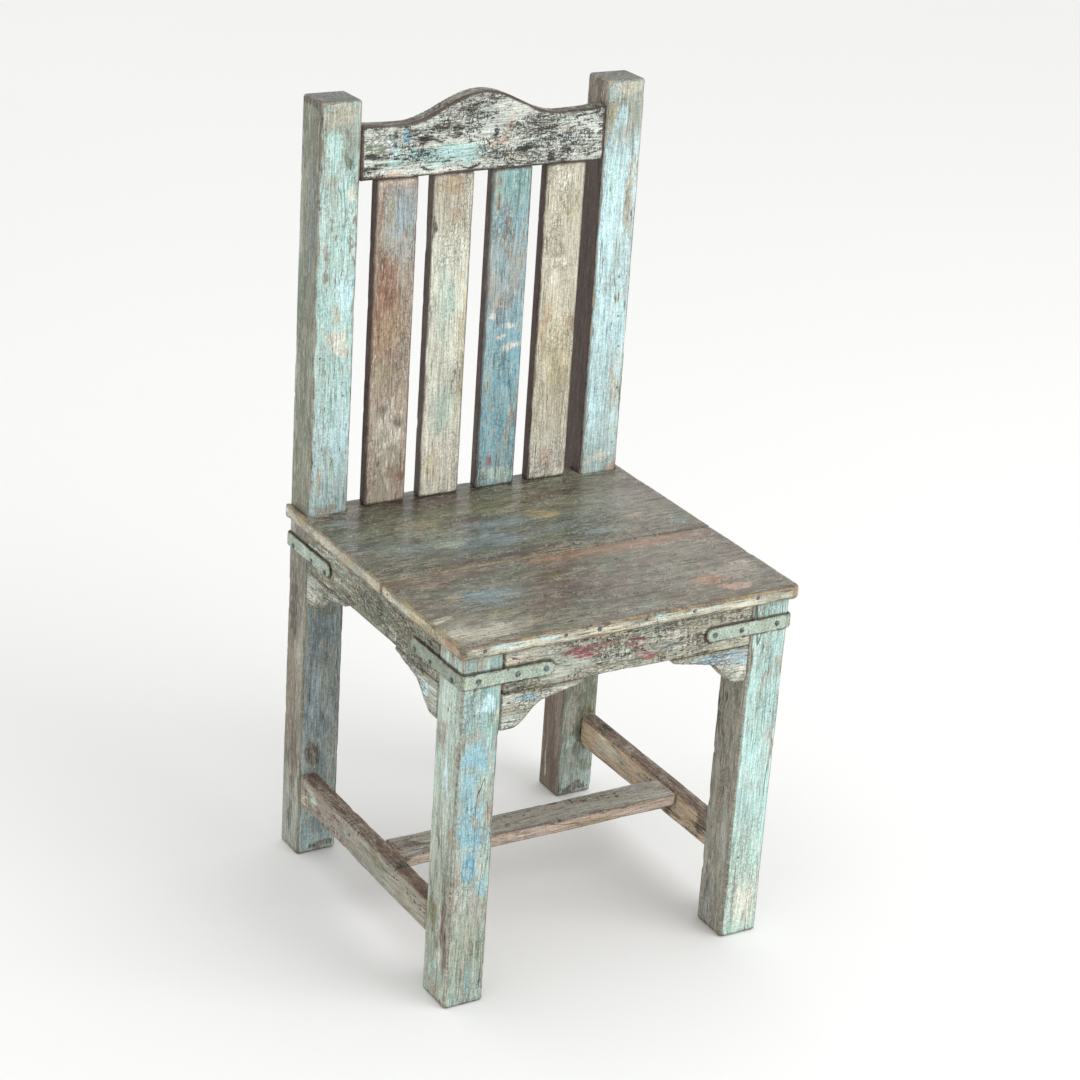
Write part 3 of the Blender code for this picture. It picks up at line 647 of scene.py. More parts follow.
def deselect_all():
    """Leaves nothing selected, so that an operator acts on one piece only."""
    for other in bpy.context.selected_objects:
        other.select_set(False)


def activate(piece):
    """Selects one piece alone."""
    deselect_all()
    piece.select_set(True)
    bpy.context.view_layer.objects.active = piece


def worked_copy(node_name, voxel):
    """A finely remeshed copy of a solid of the frame, named after it."""
    piece = bpy.data.objects.new("worn_" + node_name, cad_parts[node_name].data.copy())
    bpy.context.scene.collection.objects.link(piece)
    activate(piece)
    bpy.ops.object.mode_set(mode="EDIT")
    bpy.ops.mesh.select_all(action="SELECT")
    bpy.ops.mesh.remove_doubles(threshold=WELD)
    bpy.ops.mesh.normals_make_consistent(inside=False)
    bpy.ops.object.mode_set(mode="OBJECT")
    if node_name in LAPPED:
        join_tongue(piece, node_name, LAPPED[node_name])
    remesh = piece.modifiers.new("Remesh", "REMESH")
    remesh.mode = "VOXEL"
    remesh.voxel_size = voxel
    bpy.ops.object.modifier_apply(modifier=remesh.name)
    bpy.ops.object.shade_smooth()
    piece.data.materials.clear()
    return piece


def join_tongue(piece, plank, rail):
    """Joins a thin tongue to a plank's back edge, so that it laps over the rail behind it."""
    wear = bpy.context.scene.chair_wear
    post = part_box("back_post_right")[0]
    inner = post[X] - wear.tongue_room
    front = post[Y]
    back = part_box(rail)[0][Y] + wear.tongue_lap
    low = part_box(plank)[0][Z]
    centre = (0.0, (front + back) / 2, low + wear.tongue / 2)
    deselect_all()
    bpy.ops.mesh.primitive_cube_add(size=1.0, location=centre)
    tongue = bpy.context.object
    tongue.scale = (2 * inner, back - front, wear.tongue)
    bpy.ops.object.transform_apply(location=True, rotation=True, scale=True)
    tongue.select_set(True)
    piece.select_set(True)
    bpy.context.view_layer.objects.active = piece
    bpy.ops.object.join()


def lattice_noise(places, cell, seed):
    """Smooth noise from 0 to 1 at each place, on a lattice with its own cell size along each axis."""
    scaled = places / np.asarray(cell)
    base = np.floor(scaled).astype(np.int64)
    share = scaled - base
    share = share * share * (3 - 2 * share)
    total = np.zeros(len(places))
    for corner in itertools.product((0, 1), repeat=3):
        cells = base + np.array(corner)
        value = cells[:, 0] * 73856093 ^ cells[:, 1] * 19349663 ^ cells[:, 2] * 83492791 ^ seed * 49979687
        value = (value ^ (value >> 13)) * 60493 & 0xFFFFFFF
        value = (value ^ (value >> 11)) & 0xFFFF
        weight = np.ones(len(places))
        for axis in range(3):
            weight = weight * (share[:, axis] if corner[axis] else 1 - share[:, axis])
        total += weight * value / 0xFFFF
    return total


def layered_noise(places, cell, seed, layers=3):
    """Lattice noise at several sizes, each half as large and half as strong as the last."""
    total = 0
    strength = 1
    whole = 0
    for layer in range(layers):
        total = total + strength * lattice_noise(places, np.asarray(cell) / 2**layer, seed + 17 * layer)
        whole += strength
        strength *= 0.5
    return total / whole


def smoothstep(value, low, high):
    """0 below low, 1 above high and smooth between."""
    share = np.clip((value - low) / (high - low), 0, 1)
    return share * share * (3 - 2 * share)


def spread(values, edges, rounds):
    """Each vertex takes the mean of itself and its neighbours, a few rounds over."""
    count = np.bincount(edges.ravel(), minlength=len(values)).clip(1)
    for _ in range(rounds):
        total = np.bincount(edges[:, 0], values[edges[:, 1]], len(values))
        total += np.bincount(edges[:, 1], values[edges[:, 0]], len(values))
        values = 0.4 * values + 0.6 * total / count
    return values


def arris_closeness(name, normals, edges):
    """1 on a timber's arrises, fading to 0 over a few millimetres."""
    squares = normals**2
    if name in OUTLINED:
        through = squares[:, OUTLINED[name]]
        sharp = 2 * np.minimum(through, 1 - through)
    else:
        sharp = 2 * (1 - squares.max(axis=1))
    return np.clip(spread(sharp, edges, 4) * 2.2, 0, 1)


def nearest_neighbour(name, places):
    """How far each place is from the box of the nearest other timber."""
    nearest = np.full(len(places), 1.0)
    for other in TIMBERS:
        if other == name:
            continue
        low, high = (np.array(corner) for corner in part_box(other))
        gap = np.maximum(np.maximum(low - places, places - high), 0)
        nearest = np.minimum(nearest, np.sqrt((gap**2).sum(axis=1)))
    return nearest


def straps():
    """The names of the iron straps."""
    return sorted(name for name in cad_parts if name.startswith("corner_strap"))


def nearest_iron(places):
    """How far each place is from the straps, up to the width of the painted shade and dirt beside them."""
    far = np.full(len(places), 1.0)
    for name in straps():
        low, high = (np.array(corner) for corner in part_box(name))
        close = np.flatnonzero(((places > low - IRON_SHADE_REACH) & (places < high + IRON_SHADE_REACH)).all(axis=1))
        if not len(close):
            continue
        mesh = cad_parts[name].data
        tree = BVHTree.FromPolygons([v.co for v in mesh.vertices], [p.vertices for p in mesh.polygons])
        for index in close:
            found = tree.find_nearest(places[index], IRON_SHADE_REACH)
            if found[3] is not None:
                far[index] = min(far[index], found[3])
    return far


def dirt_and_painted_shade(places, normals, nearest, iron):
    """How dark each place is: dirt and painted shade in joints and round the straps, darker near the floor,
    painted shade underneath.
    """
    # joint: dirt and painted shade where another timber comes close
    joint = np.exp(-nearest / 0.0025) * 0.36
    # rim: painted shade and dirt in a band round each strap's edges
    rim = np.clip(1.15 - iron / 0.0042, 0, 1) * 1.15
    # floor: darker in the lowest centimetre or so
    floor = np.exp(-places[:, Z] / 0.010) * 0.75
    # below: painted shade on faces that look down
    below = smoothstep(-normals[:, Z], 0.4, 0.9) * 0.5
    return np.clip(np.max([joint, rim, floor, below], axis=0), 0, 1.2)


def reach_from(places, first, second, a, b, half_a, half_b):
    """How far each place is from a mark's centre, in half sizes of the mark, squared."""
    return ((places[:, first] * MM - a) / half_a) ** 2 + ((places[:, second] * MM - b) / half_b) ** 2


def nail_holes(name, places, weights):
    """How deep in an old nail hole each place lies, from 0 to 1."""
    deep = np.zeros(len(places))
    for face, first, second, a, b, radius in marks(NAIL_HOLES, name):
        reach = reach_from(places, first, second, a, b, radius, radius)
        deep = np.maximum(deep, weights[face] * np.exp(-reach))
    return deep


def face_weights(normals):
    """How far each vertex looks the way of each face."""
    weights = {}
    for face, (axis, direction, _) in FACES.items():
        weights[face] = np.clip(normals[:, axis] * direction, 0, 1) ** 2
    return weights


def scattered_stains(name, finish, grain, low, high):
    """Stains for the faces that lie away from the front, drawn the same way each run."""
    draw = random.Random("stains of " + name)
    stains = []
    for face in UNSEEN_FACES:
        across, up = FACES[face][2]
        area = (high[across] - low[across]) * (high[up] - low[up])
        for _ in range(int(4 + area / STAIN_AREA)):
            half = draw.uniform(0.005, 0.014)
            long = half * draw.uniform(1.2, 4.5)
            half_a, half_b = (long, half) if across == grain else (half, long)
            shade = draw.choice(SCATTER[finish])
            a = draw.uniform(low[across], high[across])
            b = draw.uniform(low[up], high[up])
            amount = draw.uniform(0.6, 1.0)
            stains.append((face, across, up, shade, a * MM, b * MM, half_a * MM, half_b * MM, amount))
    return stains


def lay_coats(name, places, weights, low, high):
    """For each vertex its face's coat, the share of paint left, and the stain that covers it."""
    grain, finish, _, faces = TIMBERS[name]
    total = sum(weights.values())
    coat = sum(weights[f][:, None] * np.array(colour(faces[f][0])) for f in FACES) / total[:, None]
    cover = sum(weights[f] * faces[f][1] for f in FACES) / total
    for face, first, second, shade, a, b, half_a, half_b in marks(ZONES, name):
        reach = reach_from(places, first, second, a, b, half_a, half_b)
        here = (weights[face] / (1 + reach**2))[:, None]
        coat = coat * (1 - here) + here * np.array(colour(shade))
    wander = np.stack([layered_noise(places, (0.022,) * 3, seed, 2) for seed in (3, 5, 7)], axis=1)
    moved = places + (wander - 0.5) * 0.016
    mixed = np.zeros((len(places), 3))
    weight = np.full(len(places), 1e-12)
    most = np.zeros(len(places))
    stains = marks(STAINS, name) + scattered_stains(name, finish, grain, low, high)
    for face, first, second, shade, a, b, half_a, half_b, amount in stains:
        reach = reach_from(moved, first, second, a, b, half_a, half_b)
        here = amount * np.sqrt(weights[face]) / (1 + reach**1.5)
        mixed += (here**6)[:, None] * np.array(colour(shade))
        weight += here**6
        most = np.maximum(most, here)
    tint = np.concatenate([mixed / weight[:, None], np.clip(most, 0, 1)[:, None]], axis=1)
    return coat, cover, tint


def weather(piece, name):
    """Wears a timber's surface inwards and writes the attributes that its finish reads."""
    wear = bpy.context.scene.chair_wear
    mesh = piece.data
    grain, finish, _, _ = TIMBERS[name]
    places, normals, edges = read_surface(mesh)
    low, high = (np.array(corner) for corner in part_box(name))
    order = [axis for axis in (X, Y, Z) if axis != grain] + [grain]
    seed = 100 + 37 * sorted(TIMBERS).index(name)
    board = places[:, order] + np.array([0.31, 0.17, 0.53]) * (seed % 23)
    weights = face_weights(normals)
    edge = arris_closeness(name, normals, edges)
    coat, cover, tint = lay_coats(name, places, weights, low, high)
    thin = layered_noise(board, (0.030, 0.030, 0.090), seed, 3)
    chips = layered_noise(board, (0.018, 0.018, 0.022), seed + 1, 3)
    nearest = nearest_neighbour(name, places)
    iron = nearest_iron(places)
    cover = cover + (thin - 0.5) * 0.6 - edge * (0.08 + 0.30 * smoothstep(chips, 0.5, 0.75))
    crumbs = layered_noise(board, (0.006, 0.006, 0.016), seed + 2, 2) - 0.5
    bare = 1 - smoothstep(cover + crumbs * 0.5, 0.4, 0.6)
    wave = layered_noise(board, (0.035, 0.035, 0.140), seed + 3, 2)
    groove = lattice_noise(board, (0.0048, 0.0048, 0.060), seed + 4)
    depth = wear.wave * smoothstep(wave, 0.4, 0.9)
    depth += wear.groove * smoothstep(groove, 0.4, 0.8) + wear.flake * bare
    depth += edge**1.5 * (wear.arris * wave + wear.chip * smoothstep(chips, 0.62, 0.90))
    depth *= smoothstep(nearest, 0.0006, 0.0060) * WEAR_SHARES.get(finish, 1.0)
    end = np.clip(np.abs(normals[:, grain]) * 1.6 - 0.6, 0, 1)
    depth *= 1 - 0.8 * end
    on_floor = smoothstep(-normals[:, Z], 0.5, 0.9) * (places[:, Z] < 0.004)
    depth *= 1 - on_floor
    holes = nail_holes(name, places, weights)
    depth += holes * NAIL_SINK
    worn = np.clip(places - normals * depth[:, None], low, high)
    # Dirt and painted shade together darken each place; nail holes get painted shade with dirt
    grime = np.maximum(dirt_and_painted_shade(places, normals, nearest, iron), holes * HOLE_SHADE)
    write_wear(mesh, worn, board, coat, tint, cover, edge, grime)


def weather_strap(piece, name):
    """Dents a strap and writes what its finish reads; its paint runs along its arms and round the corner."""
    mesh = piece.data
    places, normals, edges = read_surface(mesh)
    along = places[:, X] + places[:, Y]
    board = np.stack([places[:, Z], places[:, X] - places[:, Y], along], axis=1) + 1.7
    edge = arris_closeness(name, normals, edges)
    patch = layered_noise(board, (0.02, 0.02, 0.03), 11, 2)[:, None]
    coat = patch * np.array(colour("mint")) + (1 - patch) * np.array(colour("sage"))
    mossy = face_weights(normals)["left"][:, None] * (STRAP_MOSS if "front" in name else 0.0)
    coat = coat * (1 - mossy) + mossy * np.array(colour("moss"))
    low, high = (np.array(corner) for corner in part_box(name))
    dents = layered_noise(board, (0.010, 0.010, 0.014), 13, 2)
    worn = np.clip(places - normals * (STRAP_DENT * smoothstep(dents, 0.45, 0.8))[:, None], low, high)
    unstained = np.zeros((len(places), 4))
    darkening = np.full(len(places), STRAP_DIRT)
    write_wear(mesh, worn, board, coat, unstained, 1 - 0.3 * edge, edge * 0.8, darkening)


def read_surface(mesh):
    """A mesh's vertex places, normals and edges as arrays."""
    places = np.empty(len(mesh.vertices) * 3)
    mesh.vertices.foreach_get("co", places)
    normals = np.empty(len(mesh.vertices) * 3)
    mesh.vertex_normals.foreach_get("vector", normals)
    edges = np.empty(len(mesh.edges) * 2, dtype=np.int64)
    mesh.edges.foreach_get("vertices", edges)
    return places.reshape(-1, 3), normals.reshape(-1, 3), edges.reshape(-1, 2)


def write_wear(mesh, worn, board, coat, tint, cover, edge, grime):
    """Moves the vertices to their worn places and writes the attributes that the finishes read."""
    mesh.vertices.foreach_set("co", worn.ravel())
    for name, kind, field, values in (
        ("board", "FLOAT_VECTOR", "vector", board),
        ("coat", "FLOAT_COLOR", "color", np.c_[coat, np.ones(len(coat))]),
        ("tint", "FLOAT_COLOR", "color", tint),
        ("cover", "FLOAT", "value", cover),
        ("edge", "FLOAT", "value", edge),
        ("grime", "FLOAT", "value", grime),
    ):
        attribute = mesh.attributes.new(name, kind, "POINT")
        attribute.data.foreach_set(field, np.ascontiguousarray(values, dtype=np.float32).ravel())
    mesh.update()


def dress(*names):
    """Makes the worn pieces of a group of timbers and gives each its finish."""
    for name in names:
        _, finish, slot, _ = TIMBERS[name]
        piece = worked_copy(name, bpy.context.scene.chair_wear.voxel)
        weather(piece, name)
        piece.data.materials.append(timber_finish(finish))
        place_on_frame(piece, name)
    return {"FINISHED"}


def place_on_frame(piece, name):
    """The piece stands for its solid and moves with the chair."""
    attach(piece, BODY)
    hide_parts(name)


class Wiring:
    """Adds nodes to one shader tree and wires them together."""

    def __init__(self, tree):
        self.tree = tree

    def feed(self, socket, value):
        """Links a socket to another, or sets its value."""
        if isinstance(value, bpy.types.NodeSocket):
            self.tree.links.new(value, socket)
        else:
            socket.default_value = value

    def add(self, kind, inputs=(), **settings):
        """A node with its settings, and its inputs fed by name or number."""
        node = self.tree.nodes.new(kind)
        for setting, value in settings.items():
            setattr(node, setting, value)
        for key, value in dict(inputs).items():
            self.feed(node.inputs[key], value)
        return node

    def math(self, operation, first, second=0.0):
        """One sum on two values."""
        return self.add("ShaderNodeMath", {0: first, 1: second}, operation=operation).outputs[0]

    def plus(self, first, second):
        """Two values added."""
        return self.math("ADD", first, second)

    def minus(self, first, second):
        """The second value taken from the first."""
        return self.math("SUBTRACT", first, second)

    def times(self, first, second):
        """Two values multiplied."""
        return self.math("MULTIPLY", first, second)

    def sway(self, noise, strength):
        """Noise about one half, turned into a push to either side of nothing."""
        return self.times(self.minus(noise, 0.5), strength)

    def thread(self, noise, low, high):
        """A thin line where noise passes through one half."""
        return self.ramp(self.math("ABSOLUTE", self.minus(noise, 0.5)), low, high, 1.0, 0.0)

    def ramp(self, value, low, high, floor=0.0, ceiling=1.0):
        """A value carried smoothly from floor to ceiling as it goes from low to high."""
        inputs = {"Value": value, "From Min": low, "From Max": high, "To Min": floor, "To Max": ceiling}
        return self.add("ShaderNodeMapRange", inputs, interpolation_type="SMOOTHSTEP").outputs["Result"]

    def mix(self, factor, first, second):
        """Two colours mixed."""
        inputs = {0: factor, 6: rgba(first), 7: rgba(second)}
        return self.add("ShaderNodeMix", inputs, data_type="RGBA").outputs[2]

    def noise(self, board, scale, detail=2.0, shift=0.0, rough=0.55, warp=0.0):
        """Noise with its own scale along each direction of the board."""
        inputs = {0: board, 1: scale, 2: (shift, shift * 0.7, shift * 1.3)}
        place = self.add("ShaderNodeVectorMath", inputs, operation="MULTIPLY_ADD").outputs[0]
        inputs = {"Vector": place, "Scale": 1.0, "Detail": detail, "Roughness": rough, "Distortion": warp}
        return self.add("ShaderNodeTexNoise", inputs).outputs[0]

    def finish_relief(self, shader, height, strength, distance):
        """Bumps a shader's surface by a height."""
        inputs = {"Strength": strength, "Distance": distance, "Height": height}
        self.feed(shader.inputs["Normal"], self.add("ShaderNodeBump", inputs).outputs["Normal"])


def rgba(value):
    """A colour with its alpha, or a socket as it is."""
    if isinstance(value, bpy.types.NodeSocket):
        return value
    return (*value[:3], 1.0)


SOCKETS = {"vector": "NodeSocketVector", "colour": "NodeSocketColor", "value": "NodeSocketFloat"}
BOARD = {"Board": "vector"}
BOARD_AND_AMOUNT = {"Board": "vector", "Amount": "value"}


def shader_group(name, inputs, outputs):
    """Turns a function that wires an effect into one that gives the effect's node group, built once."""

    def settle(build):
        def ready():
            if name in bpy.data.node_groups:
                return bpy.data.node_groups[name]
            tree = bpy.data.node_groups.new(name, "ShaderNodeTree")
            for side, sockets in (("INPUT", inputs), ("OUTPUT", outputs)):
                for label, kind in sockets.items():
                    tree.interface.new_socket(label, in_out=side, socket_type=SOCKETS[kind])
            wires = Wiring(tree)
            given = wires.add("NodeGroupInput").outputs
            wires.add("NodeGroupOutput", build(wires, given))
            return tree

        return ready

    return settle


@shader_group(
    "Timber Grain",
    {**BOARD, "Light": "colour", "Dark": "colour", "Saw Marks": "value"},
    {"Color": "colour", "Streak": "value", "Pore": "value"},
)
def timber_grain(wires, given):
    """Bare old wood: streaks along the grain, dark pores and faint saw marks across it."""
    board = given["Board"]
    broad = wires.noise(board, (90, 90, 4), 3, 1.0, warp=0.4)
    fine = wires.noise(board, (420, 420, 14), 2, 2.0)
    speck = wires.noise(board, (800, 800, 240), 1, 3.0)
    saw = wires.noise(board, (22, 22, 300), 2, 4.0)
    streak = wires.plus(wires.times(broad, 0.55), wires.times(fine, 0.45))
    streak = wires.plus(streak, wires.sway(speck, 0.30))
    streak = wires.plus(streak, wires.sway(saw, given["Saw Marks"]))
    share = wires.ramp(streak, 0.34, 0.66)
    pores = wires.ramp(wires.noise(board, (620, 620, 38), 1, 5.0), 0.60, 0.70)
    return {"Color": wires.mix(share, given["Dark"], given["Light"]), "Streak": share, "Pore": pores}


@shader_group(
    "Old Coat",
    {
        **BOARD, "Coat": "colour", "Second": "colour", "Third": "colour", "Streaks": "value",
        "Cloudy": "value", "Stain": "colour", "Stain Amount": "value", "Stain Strength": "value",
        "Bloom": "colour", "Bloom Amount": "value",
    },
    {"Color": "colour"},
)
def old_coat(wires, given):
    """Old paint: a face's coat, streaks of two more tones, ragged stains and a pale bloom."""
    board = given["Board"]
    streak = wires.ramp(wires.noise(board, (55, 55, 9), 4, 16.0, rough=0.6, warp=0.5), 0.44, 0.66)
    cloud = wires.ramp(wires.noise(board, (26, 26, 13), 5, 21.0, rough=0.62, warp=0.8), 0.44, 0.62)
    slow = wires.mix(given["Cloudy"], streak, cloud)
    wisp = wires.ramp(wires.noise(board, (70, 70, 12), 4, 17.0, rough=0.65, warp=0.5), 0.48, 0.68)
    haze = wires.ramp(wires.noise(board, (34, 34, 18), 5, 22.0, rough=0.62, warp=0.8), 0.46, 0.64)
    other = wires.mix(given["Cloudy"], wisp, haze)
    quick = wires.ramp(wires.noise(board, (360, 360, 26), 3, 18.0, rough=0.6), 0.46, 0.66)
    first = wires.times(wires.math("MAXIMUM", slow, wires.times(quick, 0.8)), given["Streaks"])
    second = wires.times(wires.times(other, given["Streaks"]), 0.8)
    paint = wires.mix(first, given["Coat"], given["Second"])
    paint = wires.mix(second, paint, given["Third"])
    long_rag = wires.noise(board, (190, 190, 15), 3, 11.0, rough=0.6)
    blotch_rag = wires.noise(board, (230, 230, 150), 5, 26.0, rough=0.7)
    cross_rag = wires.noise(board, (110, 110, 440), 4, 28.0, rough=0.7)
    short_rag = wires.noise(board, (420, 420, 90), 2, 19.0)
    broken_rag = wires.math("MAXIMUM", blotch_rag, cross_rag)
    rag = wires.mix(given["Cloudy"], long_rag, wires.minus(broken_rag, 0.06))
    ragged = wires.plus(wires.times(rag, 0.6), wires.times(short_rag, 0.4))
    reach = wires.plus(given["Stain Amount"], wires.sway(ragged, 2.4))
    stained = wires.times(wires.ramp(reach, 0.42, 0.70), given["Stain Strength"])
    paint = wires.mix(stained, paint, given["Stain"])
    broad = wires.noise(board, (60, 60, 9), 3, 12.0)
    fine = wires.noise(board, (520, 520, 24), 2, 13.0)
    speck = wires.noise(board, (700, 700, 420), 2, 14.0)
    weave = wires.noise(board, (60, 60, 560), 2, 20.0)
    value = wires.plus(wires.ramp(broad, 0.3, 0.7, 0.90, 1.14), wires.ramp(fine, 0.36, 0.64, -0.20, 0.18))
    value = wires.plus(value, wires.ramp(speck, 0.36, 0.64, -0.16, 0.18))
    value = wires.plus(value, wires.ramp(weave, 0.3, 0.7, -0.08, 0.08))
    hair = wires.noise(board, (430, 430, 24), 4, 24.0, rough=0.7, warp=0.3)
    flock = wires.ramp(wires.noise(board, (36, 36, 14), 3, 27.0), 0.42, 0.60, 0.3, 1.0)
    value = wires.minus(value, wires.times(wires.ramp(hair, 0.57, 0.62, 0.0, 0.42), flock))
    pale = wires.noise(board, (420, 420, 140), 4, 25.0, rough=0.7)
    value = wires.plus(value, wires.ramp(pale, 0.57, 0.64, 0.0, 0.24))
    shaded = wires.add("ShaderNodeVectorMath", {0: paint, "Scale": value}, operation="SCALE").outputs[0]
    rub = wires.noise(board, (330, 330, 60), 3, 15.0, rough=0.7)
    bloom = wires.times(wires.ramp(rub, 0.52, 0.66), given["Bloom Amount"])
    return {"Color": wires.mix(bloom, shaded, given["Bloom"])}


@shader_group("Shakes", BOARD_AND_AMOUNT, {"Shake": "value"})
def shakes(wires, given):
    """Long thin cracks that wander along the grain."""
    line = wires.thread(wires.noise(given["Board"], (34, 34, 3.2), 2, 35.0), 0.002, 0.009)
    zone = wires.ramp(wires.noise(given["Board"], (40, 40, 9), 2, 36.0), 0.48, 0.56)
    return {"Shake": wires.times(wires.times(line, zone), given["Amount"])}


@shader_group("Scratches", BOARD_AND_AMOUNT, {"Scratch": "value"})
def scratches(wires, given):
    """Short pale scratches that cross the grain at a slant."""
    inputs = {"Vector": given["Board"], "Rotation": (0.5, 0.6, 0.4)}
    slant = wires.add("ShaderNodeMapping", inputs, vector_type="POINT").outputs[0]
    line = wires.thread(wires.noise(slant, (60, 260, 260), 2, 37.0, warp=0.6), 0.008, 0.03)
    zone = wires.ramp(wires.noise(given["Board"], (90, 90, 60), 3, 38.0), 0.48, 0.58)
    return {"Scratch": wires.times(wires.times(line, zone), given["Amount"])}


@shader_group("Peeling Edge", {**BOARD, "Cover": "value"}, {"Paint": "value", "Rim": "value"})
def peeling_edge(wires, given):
    """Where paint is left: flakes with crisp borders along the grain, and the older coat that rims them."""
    board = given["Board"]
    large = wires.noise(board, (70, 70, 18), 3, 21.0, rough=0.6)
    middle = wires.noise(board, (260, 260, 60), 3, 22.0, rough=0.6)
    small = wires.noise(board, (560, 560, 110), 2, 23.0)
    height = wires.plus(wires.times(large, 0.40), wires.times(middle, 0.36))
    height = wires.ramp(wires.plus(height, wires.times(small, 0.24)), 0.34, 0.66)
    left = wires.minus(given["Cover"], height)
    paint = wires.ramp(left, -0.05, 0.06)
    return {"Paint": paint, "Rim": wires.times(paint, wires.ramp(left, 0.06, 0.20, 1.0, 0.0))}


@shader_group("Crazing", BOARD_AND_AMOUNT, {"Crack": "value"})
def crazing(wires, given):
    """Fine cracks in the paint, in cells longer than they are wide, here and there."""
    board = given["Board"]
    bend = wires.noise(board, (300, 300, 200), 2, 31.0)
    inputs = {0: board, 1: (230, 230, 130), 2: (3.0, 5.0, 7.0)}
    place = wires.add("ShaderNodeVectorMath", inputs, operation="MULTIPLY_ADD").outputs[0]
    place = wires.add("ShaderNodeVectorMath", {0: place, 1: bend}, operation="ADD").outputs[0]
    cells = wires.add("ShaderNodeTexVoronoi", {"Vector": place, "Scale": 1.0}, feature="DISTANCE_TO_EDGE")
    crack = wires.ramp(cells.outputs["Distance"], 0.02, 0.13, 1.0, 0.0)
    zone = wires.ramp(wires.noise(board, (32, 32, 16), 2, 32.0), 0.46, 0.60)
    return {"Crack": wires.times(wires.times(crack, zone), given["Amount"])}


@shader_group("Dark Flecks", BOARD_AND_AMOUNT, {"Fleck": "value"})
def dark_flecks(wires, given):
    """Dark chips through the paint, drawn out along the grain and, in places, across it."""
    board = given["Board"]
    along = wires.noise(board, (420, 420, 130), 5, 41.0, rough=0.72)
    across = wires.noise(board, (180, 180, 460), 5, 42.0, rough=0.72)
    cluster = wires.ramp(wires.noise(board, (20, 20, 12), 3, 44.0), 0.40, 0.60)
    zone = wires.ramp(wires.noise(board, (42, 42, 30), 2, 43.0), 0.38, 0.54)
    share = wires.plus(0.13, wires.times(cluster, 0.15))
    low = wires.minus(0.74, wires.times(given["Amount"], share))
    high = wires.plus(low, 0.022)
    crossing = wires.times(wires.ramp(across, low, high), zone)
    return {"Fleck": wires.math("MAXIMUM", wires.ramp(along, low, high), crossing)}


@shader_group("Worn Arris", {**BOARD, "Edge": "value"}, {"Bare": "value", "Line": "value"})
def worn_arris(wires, given):
    """Arrises rubbed to the wood in stretches, with a thin dark line where the old paint breaks off."""
    patchy = wires.noise(given["Board"], (90, 90, 26), 3, 51.0, rough=0.6)
    reach = wires.plus(given["Edge"], wires.sway(patchy, 1.6))
    line = wires.times(wires.ramp(reach, 0.48, 0.62), wires.ramp(reach, 0.66, 0.80, 1.0, 0.0))
    return {"Bare": wires.ramp(reach, 0.62, 0.86), "Line": line}


@shader_group("Settled Dirt", {**BOARD, "Grime": "value"}, {"Dirt": "value"})
def broken_shade_and_dirt(wires, given):
    """The darkening of dirt and painted shade, broken up along the grain."""
    broken = wires.noise(given["Board"], (160, 160, 60), 3, 61.0, rough=0.6)
    return {"Dirt": wires.ramp(wires.plus(given["Grime"], wires.sway(broken, 1.0)), 0.30, 0.95)}


# What most finishes share, and then how each finish mixes the shared effects
COMMON = dict(
    cloudy=0.2, stain=0.8, pore="umber", pores=0.6, arris_reach=1.0, arris_amount=0.6, shine=0.3, varnish=0.0)
FINISHES = {
    "post": dict(
        COMMON, light="weather", dark="lichen", second="frost", third="sage", streaks=0.6, bloom=0.35,
        pore="moss", flecks=0.34, craze=0.25, shakes=0.5, scratches=0.1, arris="tan", arris_amount=0.7,
        saw=0.25, shine=0.32, paint_rough=0.50, wood_rough=0.75),
    "leg": dict(
        COMMON, light="stone", dark="dust", second="frost", third="slate", streaks=0.6, stain=0.85,
        bloom=0.42, pore="moss", flecks=0.36, craze=0.40, shakes=0.8, scratches=0.2, arris="stone",
        arris_amount=0.7, saw=0.45, shine=0.32, paint_rough=0.52, wood_rough=0.75),
    "crest": dict(
        COMMON, light="bone", dark="umber", second="frost", third="weather", streaks=0.6, cloudy=1.0,
        stain=0.95, bloom=0.45, pores=0.5, flecks=0.79, craze=0.7, shakes=0.3, scratches=0.1,
        arris="umber", arris_reach=1.5, arris_amount=0.9, saw=0.35, paint_rough=0.5, wood_rough=0.7),
    "slat": dict(
        COMMON, light="stone", dark="taupe", second="stone", third="dust", streaks=0.45, cloudy=0.3,
        bloom=0.40, pores=0.5, flecks=0.36, craze=0.45, shakes=0.35, scratches=0.2, arris="walnut",
        arris_reach=1.1, saw=0.25, paint_rough=0.52, wood_rough=0.7),
    "seat": dict(
        COMMON, light="dust", dark="umber", second="umber", third="moss", streaks=0.95, cloudy=0.8,
        stain=0.75, bloom=0.14, pore="soot", pores=0.7, flecks=0.46, craze=0.05, shakes=0.5,
        scratches=0.5, arris="ochre", arris_reach=1.4, arris_amount=0.7, saw=0.6, shine=0.4,
        varnish=0.22, paint_rough=0.32, wood_rough=0.42),
    "rail": dict(
        COMMON, light="cream", dark="umber", second="moss", third="khaki", streaks=0.75, stain=0.85,
        bloom=0.6, pores=0.7, flecks=0.62, craze=0.75, shakes=0.6, scratches=0.2, arris="khaki",
        saw=0.6, paint_rough=0.52, wood_rough=0.72),
    "stretcher": dict(
        COMMON, light="ash", dark="walnut", second="taupe", third="tan", streaks=0.5, bloom=0.22,
        flecks=0.34, craze=0.1, shakes=0.6, scratches=0.3, arris="tan", arris_reach=1.1, saw=1.1,
        shine=0.25, paint_rough=0.62, wood_rough=0.75),
    "strap": dict(
        COMMON, light="umber", dark="soot", second="sage", third="moss", streaks=0.9, bloom=0.45,
        pores=0.4, flecks=0.40, craze=0.2, shakes=0.0, scratches=0.2, arris="weather",
        arris_amount=0.5, saw=0.3, shine=0.4, paint_rough=0.46, wood_rough=0.60),
}


def new_finish(label):
    """A new material, the wires of its tree and its shader."""
    material = bpy.data.materials.new(label)
    material.use_nodes = True
    return material, Wiring(material.node_tree), material.node_tree.nodes["Principled BSDF"]


